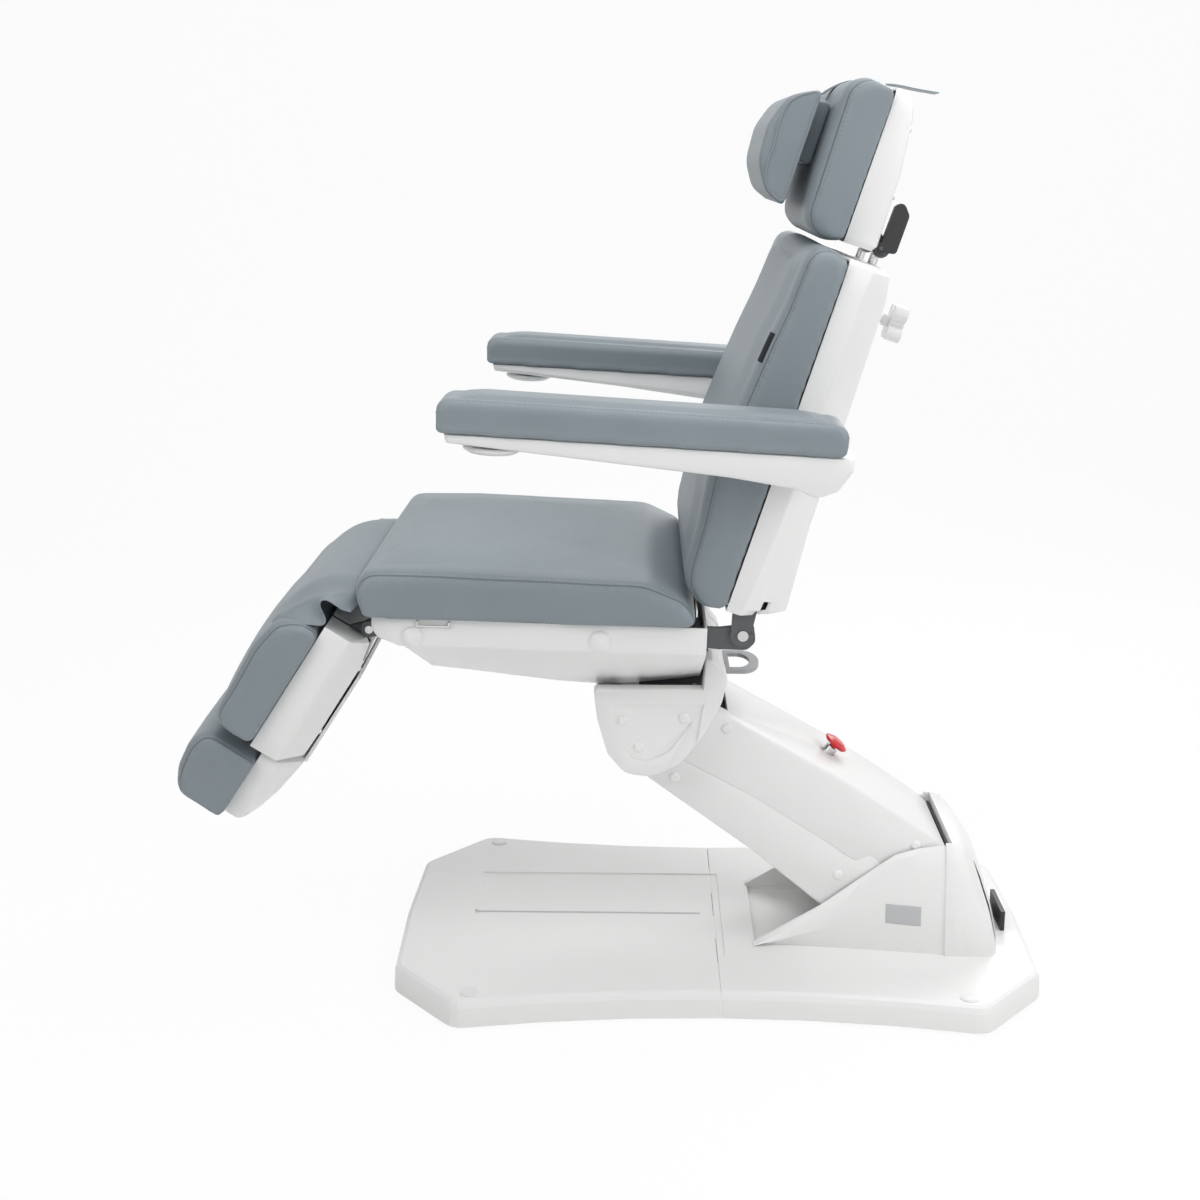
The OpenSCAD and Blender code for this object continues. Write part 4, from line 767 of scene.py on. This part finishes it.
def under_pressure(pad):
    """Where a pad's points end after its cover is run as cloth under pressure."""
    cloth = pad.modifiers.new("cover", "CLOTH")
    for name, setting in COVER.items():
        setattr(cloth.settings, name, setting)
    cloth.settings.effector_weights.gravity = 0.0
    cloth.point_cache.frame_start, cloth.point_cache.frame_end = 1, COVER_STEPS
    scene = bpy.context.scene
    for step in range(1, COVER_STEPS + 1):
        scene.frame_set(step)
    seen = pad.evaluated_get(bpy.context.evaluated_depsgraph_get())
    end = points_of(seen.data)[0]
    pad.modifiers.clear()
    scene.frame_set(1)
    return end


def inflated(pad, place, seam_x, swell):
    """Swells a closed pad, whose underside is held, and keeps each point within its cap."""
    mesh = pad.data
    co, normal = points_of(mesh)
    up = place.flat(co)[:, 2]
    free = np.clip((up - up.min() - 0.004) / 0.020, 0, 1)
    slack = normal * (sizes().slack * free)[:, None]
    move_points(mesh, co - slack)
    seam = np.ones(len(co))
    if seam_x:
        seam = np.clip(np.abs(np.abs(co[:, 0]) - seam_x) / 0.010, 0, 1)
    hold = pad.vertex_groups.new(name="hold")
    for i, w in enumerate(1 - free * (0.35 + 0.65 * seam)):
        if w > 0.01:
            hold.add([i], float(w), "REPLACE")
    travel = under_pressure(pad) - (co - slack)
    reach = np.linalg.norm(travel, axis=1)
    travel *= np.minimum(1, swell / np.maximum(reach, 1e-9))[:, None]
    sunk = ((travel - slack) * normal).sum(1)
    travel += normal * np.maximum(-sizes().sink - sunk, 0)[:, None]
    move_points(mesh, co - slack + travel)
    pad.vertex_groups.clear()


def drawn_in(pad, seam_x):
    """Pulls the cover in along its side seams."""
    co, normal = points_of(pad.data)
    off = np.abs(np.abs(co[:, 0]) - seam_x) / sizes().seam_width
    move_points(pad.data, co - normal * (sizes().seam_depth * np.exp(-off ** 2))[:, None])


def upholstered(bm, name, place, material, voxel, seam_x=None, swell=None, rounds=3):
    """A padded piece from a closed form."""
    pad = from_bmesh(name, bm, material)
    modified(pad, "REMESH", mode="VOXEL", voxel_size=voxel, use_smooth_shade=True)
    modified(pad, "SMOOTH", factor=0.5, iterations=rounds)
    inflated(pad, place, seam_x, swell or sizes().swell)
    modified(pad, "SUBSURF", levels=1, render_levels=1)
    if seam_x:
        drawn_in(pad, seam_x)
    pad.data.shade_smooth()
    return pad


def sewn_rows(pad, node, piece, place, spots, lowest):
    """Stitches along a pad's upper outline at each of these places across it."""
    lines = [eased(even(upper_run(cut_loops(pad, x)[0], place, lowest), 0.004), 3) for x in spots]
    s = sizes()
    stitches = grown(piece + "_stitches", path_mesh(piece + "_rows", lines), trees["stitches"],
                     {"Spacing": s.stitch_spacing, "Length": s.stitch_length,
                      "Thread": s.thread, "Material": finish_of("thread")})
    rides(stitches, body_of[node])


class CHAIR_OT_cushions(bpy.types.Operator):
    """Makes the seat, back, headrest, leg and foot upholstery by cloth simulation"""
    bl_idname = "chair.cushions"
    bl_label = "Cushions"

    def execute(self, context):
        for node, piece, place, half, inset, row, lowest, voxel in CUSHIONS:
            seam_x = half - inset
            pad = upholstered(merged(node), piece, place, vinyl(piece + " vinyl", seam_x),
                              voxel, seam_x)
            stands_for(pad, node)
            sewn_rows(pad, node, piece, place, (-seam_x - row, seam_x + row), lowest)
        return {"FINISHED"}


ARM_SEAM = 0.009
ARM_STITCH_FROM = 0.064


class CHAIR_OT_armrest_pads(bpy.types.Operator):
    """Makes both armrests' padded tops"""
    bl_idname = "chair.armrest_pads"
    bl_label = "Armrest pads"

    def execute(self, context):
        for node in ("armrest_pad_left", "armrest_pad_right"):
            low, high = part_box(node)
            pad = upholstered(merged(node), node + "_cover", arm_flat, vinyl(node + " vinyl"),
                              0.005)
            stands_for(pad, node)
            sewn_rows(pad, node, node, arm_flat, (low.x + ARM_SEAM, high.x - ARM_SEAM),
                      ARM_STITCH_FROM)
        return {"FINISHED"}


def upper_half(node, place, height):
    """The part of a CAD form above a height in its own frame, closed again."""
    bm = merged(node)
    bmesh.ops.bisect_plane(bm, geom=bm.verts[:] + bm.edges[:] + bm.faces[:], clear_inner=True,
                           plane_co=place.at(0, 0, height), plane_no=place.up())
    bmesh.ops.holes_fill(bm, edges=[e for e in bm.edges if e.is_boundary], sides=0)
    bmesh.ops.triangulate(bm, faces=[f for f in bm.faces if len(f.verts) > 4])
    bmesh.ops.recalc_face_normals(bm, faces=bm.faces)
    return bm


def ribbon(name, line, place, half, thick, material, crown):
    """A flat strap along a line of (along, up) points, with a slightly rounded face."""
    middle = curve_through([(0, a, u) for a, u in line], 6)
    bm = bmesh.new()
    rows = []
    for i, (_, a, u) in enumerate(middle):
        ahead = middle[min(i + 1, len(middle) - 1)] - middle[max(i - 1, 0)]
        out = np.array((0, -ahead[2], ahead[1])) / np.linalg.norm(ahead)
        rows.append([bm.verts.new(place.at(c * half, a - out[1] * crown * c * c,
                                           u - out[2] * crown * c * c))
                     for c in np.linspace(-1, 1, 9)])
    skinned(bm, rows)
    band = from_bmesh(name, bm, material)
    modified(band, "SOLIDIFY", thickness=thick, offset=0)
    shaded(band, 50)
    return band


# The gaps that the strap and the flap keep from the cushions under them
STRAP_GAP, FLAP_GAP = 0.0004, 0.0006


def clear_of(p, carriers, gap):
    """Moves points out of the pieces that they would sink into."""
    p = p.copy()
    for carrier in carriers * 3:
        for i, co in enumerate(p):
            near, normal, _, _ = carrier.find_nearest(Vector(co), 0.03)
            out = gap if near is None else (Vector(co) - near).dot(normal)
            if out < gap:
                p[i] = co + np.array(normal) * (gap - out)
    return p


# The head pillow, with all its points as (along, up) on the back: its flat side, where its ends
# are piped, the backing's outline and stations, and the strap before, over and behind the headrest
PILLOW_FLAT = 0.1405
PILLOW_END = 0.154
BACKING = [(0.668, 0.1195), (0.664, 0.128), (0.668, 0.1425), (0.752, 0.1425), (0.757, 0.128),
           (0.752, 0.1195)]
BACKING_ACROSS = (-0.118, -0.06, 0.06, 0.118)
STRAP_WIDTH = 0.038
STRAP_START = [(0.767, 0.1352), (0.772, 0.1268), (0.778, 0.1223)]
STRAP_OVER = (0.118, 0.058)
STRAP_TAIL = [(0.8124, 0.0432), (0.8173, 0.0216), (0.8200, -0.0027), (0.8250, -0.0360)]


class CHAIR_OT_pillow(bpy.types.Operator):
    """Makes the piped head pillow, its backing and its strap"""
    bl_idname = "chair.pillow"
    bl_label = "Head pillow"

    def execute(self, context):
        pillow = upholstered(upper_half("head_pillow", back_flat, PILLOW_FLAT), "pillow_cover",
                             back_flat, vinyl("pillow vinyl"), 0.004, None, 0.006, 16)
        stands_for(pillow, "head_pillow")
        lines = [eased(even(cut_loops(pillow, x)[0], 0.004)[:-1], 4, closed=True)
                 for x in (-PILLOW_END, PILLOW_END)]
        piping = grown("pillow_piping", path_mesh("pillow_edges", lines, closed=True),
                       trees["piping"], {"Thickness": sizes().piping,
                                         "Material": finish_of("vinyl")})
        rides(piping, "headrest")
        self.backing()
        self.strap()
        return {"FINISHED"}

    def backing(self):
        """The firm pad that the pillow rests on, drawn in from its edges."""
        bm = bmesh.new()
        rows = [[bm.verts.new(back_flat.at(x, a, u)) for a, u in BACKING] for x in BACKING_ACROSS]
        bm.faces.new(rows[0])
        bm.faces.new(rows[-1])
        skinned(bm, rows, closed=True)
        pad = from_bmesh("pillow_backing", bm, finish_of("vinyl"))
        modified(pad, "BEVEL", width=0.004, segments=3, limit_method="ANGLE")
        pad.data.shade_smooth()
        rides(pad, "headrest")

    def strap(self):
        """A band drawn taut from the pillow over the headrest, with its end hanging free behind."""
        carrier = tree_of(bpy.data.objects["headrest_upholstery"])
        over = []
        for u in np.linspace(*STRAP_OVER, 13):
            hit = carrier.ray_cast(back_flat.at(0, 0.90, u), -back_flat.along())[0]
            over.append((back_flat.flat(hit)[0, 1] + sizes().strap / 2 + STRAP_GAP, u))
        along, up = STRAP_START[-1]
        first = max(range(len(over)), key=lambda i: (over[i][0] - along) / (up - over[i][1]))
        line = STRAP_START + over[first::3] + STRAP_TAIL
        strap = ribbon("pillow_strap_band", line, back_flat, STRAP_WIDTH / 2, sizes().strap,
                       vinyl("strap vinyl"), 0.0006)
        stands_for(strap, "pillow_strap")


# The flap's outline from the leg cushion to the seat, as (along, up) in millimetres on the leg
# rest: in the middle, at the crease near the edge, and at the hem, which folds into an S.
# It is sewn down, and sinks into the cushion, outside the x and below the along of FLAP_SEWN.
FLAP_SEWN = (0.25, -0.012)
FLAP_STEPS = 46
FLAP = [
    (0.190, [(-62, 134), (-48, 131), (-34, 126), (-14, 120), (6, 111), (24, 98), (38, 82),
             (48, 66), (52, 53), (46, 43), (38, 32)]),
    (0.262, [(-60, 128), (-46, 125), (-32, 117), (-14, 107), (2, 97), (14, 88), (25, 78),
             (35, 66), (43, 54), (45, 44), (38, 32)]),
    (0.286, [(-38, 96), (-28, 84), (-20, 70), (-14, 58), (-6, 56), (0, 62), (5, 72),
             (10, 81), (16, 83), (22, 77), (22, 64), (21, 50), (26, 36)]),
]


class CHAIR_OT_flap(bpy.types.Operator):
    """Makes the loose vinyl flap at the knee"""
    bl_idname = "chair.flap"
    bl_label = "Knee flap"

    def execute(self, context):
        profiles = []
        for x, points in FLAP:
            line = even(curve_through([(0, a / 1000, u / 1000) for a, u in points]), 0.0005)
            t = np.linspace(0, len(line) - 1, FLAP_STEPS)
            profiles.append((x, np.stack([np.interp(t, range(len(line)), line[:, k])
                                          for k in (1, 2)], 1)))
        crease, hem = FLAP[0][0], FLAP[-1][0]
        columns = np.concatenate([np.linspace(0, crease, 9)[:-1], np.linspace(crease, hem, 22)])
        columns = np.concatenate([-columns[:0:-1], columns])
        grid = np.array([self.row(abs(x), profiles) for x in columns])
        points = np.array([leg_flat.at(x, *p) for x, row in zip(columns, grid) for p in row])
        carriers = [tree_of(bpy.data.objects[n]) for n in ("leg_upholstery", "seat_upholstery")]
        outside, below = FLAP_SEWN
        loose = (np.abs(points[:, 0]) <= outside) | (grid[:, :, 0].ravel() >= below)
        points[loose] = clear_of(points[loose], carriers, sizes().flap / 2 + FLAP_GAP)
        n = FLAP_STEPS
        mesh = bpy.data.meshes.new("knee_flap_cover")
        mesh.from_pydata([tuple(p) for p in points], [],
                         [(i * n + j, i * n + j + 1, (i + 1) * n + j + 1, (i + 1) * n + j)
                          for i in range(len(columns) - 1) for j in range(n - 1)])
        flap = new_object("knee_flap_cover", mesh, vinyl("flap vinyl"))
        modified(flap, "SMOOTH", factor=0.5, iterations=4)
        modified(flap, "SOLIDIFY", thickness=sizes().flap, offset=0)
        modified(flap, "SUBSURF", levels=1, render_levels=1)
        flap.data.shade_smooth()
        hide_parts("knee_flap")
        leg_flat.at(0, -0.020, 0.115)
        leg_flat.at(0, 0.046, 0.050)
        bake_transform(flap)
        return {"FINISHED"}

    def row(self, x, profiles):
        """The flap's outline at a distance from the middle."""
        if x <= profiles[0][0]:
            return profiles[0][1]
        for (xa, a), (xb, b) in zip(profiles, profiles[1:]):
            if x <= xb + 1e-9:
                t = (x - xa) / (xb - xa)
                if a is profiles[0][1]:
                    t = t * t * (3 - 2 * t)
                return a + (b - a) * t
        return profiles[-1][1]


def laid_patch(name, carrier, corner, across, along, towards, counts, thick, material):
    """A thin patch laid on a piece: a grid of points dropped on it, then given a thickness."""
    tree = tree_of(bpy.data.objects[carrier])
    bm = bmesh.new()
    rows = []
    for i in range(counts[0] + 1):
        row = []
        for j in range(counts[1] + 1):
            start = corner + across * (i / counts[0]) + along * (j / counts[1])
            hit, normal, _, _ = tree.ray_cast(start - towards * 0.2, towards)
            if hit is None:
                raise RuntimeError(f"{name} finds nothing to lie on")
            row.append(bm.verts.new(hit + normal * thick * 0.5))
        rows.append(row)
    skinned(bm, rows)
    patch = from_bmesh(name, bm, material)
    modified(patch, "SOLIDIFY", thickness=thick, offset=0)
    modified(patch, "BEVEL", width=thick * 0.3, segments=2, limit_method="ANGLE")
    shaded(patch, 50)
    return patch


# The screw's rings on a unit diameter: radius, height, and whether it is the socket's hexagon
SCREW = [(0.5, -0.05, False), (0.5, 0.10, False), (0.46, 0.19, False), (0.36, 0.27, False),
         (0.27, 0.30, False), (0.22, 0.30, True), (0.21, 0.10, True)]
SCREW_SIDES = 12


def screw_mesh():
    """A domed socket-head screw of unit diameter that stands on its origin."""
    bm = bmesh.new()
    rows = []
    for radius, height, hexagon in SCREW:
        row = []
        for k in range(SCREW_SIDES):
            a = 2 * math.pi * k / SCREW_SIDES
            reach = radius * (math.cos(math.pi / 6) if hexagon and k % 2 else 1.0)
            row.append(bm.verts.new((reach * math.cos(a), reach * math.sin(a), height)))
        rows.append(row)
    bm.faces.new(rows[0])
    bm.faces.new(rows[-1])
    skinned(bm, rows, closed=True)
    mesh = bpy.data.meshes.new("screw")
    bm.to_mesh(mesh)
    bm.free()
    return mesh


# Screws that hold the shells, seen from behind and below: piece, body, place, (x, along) spots
SCREWED = [
    ("back_shell_skin", "back", back_flat,
     [(x, a) for x in (-0.19, 0.19) for a in (0.10, 0.30, 0.50)]),
    ("headrest_shell_skin", "headrest", back_flat,
     [(x, a) for x in (-0.13, 0.13) for a in (0.66, 0.755)]),
    ("leg_shell_skin", "leg_rest", leg_flat,
     [(x, a) for x in (-0.20, 0.20) for a in (-0.07, -0.19)]),
]


class CHAIR_OT_small_parts(bpy.types.Operator):
    """Makes the blank tag, the blank plate, the deck line (a grey strip of painted shade in the
    deck's slot) and the shells' screws
    """
    bl_idname = "chair.small_parts"
    bl_label = "Small parts"

    def execute(self, context):
        plate = colours().plate
        tag = laid_patch("back_tag", "back_upholstery", back_flat.at(0.266, 0.388, 0.2),
                         Vector((0.016, 0, 0)), back_flat.along() * 0.044, -back_flat.up(),
                         (6, 14), 0.0010, woven("tag cloth", (0.012, 0.013, 0.016)))
        rides(tag, "back")
        badge = laid_patch("housing_plate", "lift_housing_skin", Vector((0.4, 0.433, 0.094)),
                           Vector((0, 0.056, -0.003)), Vector((0, 0, 0.032)),
                           Vector((-1, 0, 0)), (10, 6), 0.0012,
                           moulded("plate plastic", plate, 0.34, 0.00003))
        rides(badge, "base")
        # The deck line is a grey strip laid in the deck's slot: painted shade where the slot is
        # dark.
        line = laid_patch("deck_line", "base_cover_front_skin", Vector((-0.0024, -0.246, 0.2)),
                          Vector((0.0048, 0, 0)), Vector((0, 0.384, 0)), Vector((0, 0, -1)),
                          (2, 40), 0.0008, moulded("deck slot painted shade", plate, 0.4, 0.00003))
        rides(line, "base")
        self.screws()
        return {"FINISHED"}

    def screws(self):
        model = bpy.data.objects.new("screw model", screw_mesh())
        for piece, body, place, spots in SCREWED:
            tree = tree_of(bpy.data.objects[piece])
            hits = [tree.ray_cast(place.at(x, a, -0.4), place.up())[:2] for x, a in spots]
            mesh = bpy.data.meshes.new(piece + "_spots")
            mesh.from_pydata([tuple(h) for h, _ in hits], [], [])
            facing = mesh.attributes.new("facing", "FLOAT_VECTOR", "POINT")
            facing.data.foreach_set("vector", [c for _, n in hits for c in n])
            screws = grown(piece.replace("skin", "screws"), mesh, trees["screws"],
                           {"Screw": model, "Diameter": sizes().screw,
                            "Material": finish_of("bright_steel")})
            screws.data.set_sharp_from_angle(angle=math.radians(40))
            rides(screws, body)
        bpy.data.objects.remove(model)


# Stage: the camera as it was fitted to the photograph, in metres and radians, and the lamps
LENS, SENSOR = 50.8, 36.0
CAMERA_AT = (2.6604, 0.0292, 1.2975)
CAMERA_DOWN, CAMERA_ASIDE = 0.25763, 0.02305
FLOOR_FRONT, WALL_FOOT, COVE, WALL_TOP, FLOOR_HALF = 3.5, -2.6, 1.6, 5.5, 6.0
SEEN_WHITE, ROOM_LIGHT = 0.93, 0.2
LAMPS = [  # name, place, aim, side of the softbox, watts
    ("key softbox", (2.4, -2.4, 2.9), (0, 0, 0.7), 2.2, 42),
    ("overhead softbox", (0.3, 0.2, 3.4), (0, 0, 0.5), 2.6, 40),
    ("right fill", (2.6, 2.4, 1.7), (0, 0.2, 0.7), 2.0, 30),
    ("far rim", (-2.2, 1.2, 2.3), (0, 0, 0.8), 1.6, 36),
    ("rear softbox", (0.9, 2.6, 2.9), (0, 0.2, 0.8), 1.8, 25),
    ("camera softbox", (3.4, -0.4, 2.6), (0, 0, 0.6), 2.0, 10),
]


class CHAIR_OT_stage(bpy.types.Operator):
    """Sets the floor, the backdrop, the lamps and the camera"""
    bl_idname = "chair.stage"
    bl_label = "Stage"

    def execute(self, context):
        scene = context.scene
        scene.view_settings.view_transform = "Standard"
        self.camera(scene)
        self.floor()
        self.world(scene)
        self.lamps(scene)
        return {"FINISHED"}

    def camera(self, scene):
        data = bpy.data.cameras.new("studio camera")
        data.lens, data.sensor_width = LENS, SENSOR
        data.clip_start, data.clip_end = 0.1, 100
        cam = bpy.data.objects.new("studio camera", data)
        scene.collection.objects.link(cam)
        level = math.cos(CAMERA_DOWN)
        ahead = Vector((-math.cos(CAMERA_ASIDE) * level, -math.sin(CAMERA_ASIDE) * level,
                        -math.sin(CAMERA_DOWN)))
        right = ahead.cross(Vector((0, 0, 1))).normalized()
        turn = Matrix((right, right.cross(ahead), -ahead)).transposed().to_4x4()
        cam.matrix_world = Matrix.Translation(CAMERA_AT) @ turn
        scene.camera = cam

    def floor(self):
        """White paper that runs up into a backdrop, seen white and keeping the chair's shadow."""
        profile = [(FLOOR_FRONT, 0.0), (WALL_FOOT, 0.0)]
        profile += [(WALL_FOOT - COVE * math.sin(math.radians(a)),
                     COVE - COVE * math.cos(math.radians(a))) for a in range(9, 91, 9)]
        profile += [(WALL_FOOT - COVE, WALL_TOP)]
        bm = bmesh.new()
        skinned(bm, [[bm.verts.new((x, y, z)) for x, z in profile]
                     for y in (-FLOOR_HALF, FLOOR_HALF)])
        f = Finish("white studio paper", colours().floor, 0.9, Specular_IOR_Level=0.1)
        f.relief(f.noise(300.0), 0.0002, 0.2)
        f.done()
        glow = f.node("ShaderNodeEmission", None, {"Color": (1, 1, 1, 1), "Strength": 1.0})
        path = f.node("ShaderNodeLightPath")
        seen = Value(f, path.outputs["Is Camera Ray"]).most(Value(f, path.outputs["Is Glossy Ray"]))
        share = f.node("ShaderNodeMixShader", None, {0: seen * SEEN_WHITE, 1: f.shader.outputs[0],
                                                     2: glow.outputs[0]})
        out = f.tree.nodes["Material Output"]
        f.tree.links.new(share.outputs[0], out.inputs["Surface"])
        from_bmesh("studio_floor", bm, f.material)

    def world(self, scene):
        """A dim white room that the camera and the gloss see as white."""
        world = bpy.data.worlds.new("white room")
        world.use_nodes = True
        scene.world = world
        tree = world.node_tree
        back = tree.nodes["Background"]
        back.inputs["Color"].default_value = (1, 1, 1, 1)
        path = new_node(tree, "ShaderNodeLightPath")
        either = new_node(tree, "ShaderNodeMath", {"operation": "MAXIMUM"},
                          {0: path.outputs["Is Camera Ray"], 1: path.outputs["Is Glossy Ray"]})
        mix = new_node(tree, "ShaderNodeMix", {"data_type": "FLOAT"},
                       {0: either.outputs[0], 2: ROOM_LIGHT, 3: 1.0})
        tree.links.new(mix.outputs[0], back.inputs["Strength"])

    def lamps(self, scene):
        for name, place, aim, side, watts in LAMPS:
            data = bpy.data.lights.new(name, "AREA")
            data.shape, data.size, data.energy = "SQUARE", side, watts
            lamp = bpy.data.objects.new(name, data)
            scene.collection.objects.link(lamp)
            lamp.location = place
            lamp.rotation_mode = "QUATERNION"
            lamp.rotation_quaternion = (Vector(aim) - Vector(place)).to_track_quat("-Z", "Y")


STEPS = [CHAIR_OT_stage, CHAIR_OT_fittings, CHAIR_OT_shells, CHAIR_OT_cushions,
         CHAIR_OT_armrest_pads, CHAIR_OT_pillow, CHAIR_OT_flap, CHAIR_OT_small_parts]


class CHAIR_PT_panel(bpy.types.Panel):
    """Lists the chair's pieces in the sidebar"""
    bl_label = "Procedure chair"
    bl_idname = "CHAIR_PT_panel"
    bl_space_type = "VIEW_3D"
    bl_region_type = "UI"
    bl_category = "Chair"

    def draw(self, context):
        for group in (context.scene.chair_colours, context.scene.chair_sizes):
            for name in group.__annotations__:
                self.layout.prop(group, name)
        for step in STEPS:
            self.layout.operator(step.bl_idname)


CLASSES = [ChairColours, ChairSizes, *STEPS, CHAIR_PT_panel]
trees = {}


def register():
    for c in CLASSES:
        bpy.utils.register_class(c)
    bpy.types.Scene.chair_colours = PointerProperty(type=ChairColours)
    bpy.types.Scene.chair_sizes = PointerProperty(type=ChairSizes)


def unregister():
    del bpy.types.Scene.chair_sizes
    del bpy.types.Scene.chair_colours
    for c in reversed(CLASSES):
        bpy.utils.unregister_class(c)


def main():
    register()
    trees.update(stitches=stitch_tree(), piping=piping_tree(), screws=screw_tree())
    for step in STEPS:
        group, name = step.bl_idname.split(".")
        getattr(getattr(bpy.ops, group), name)()


if __name__ == "__main__":
    main()
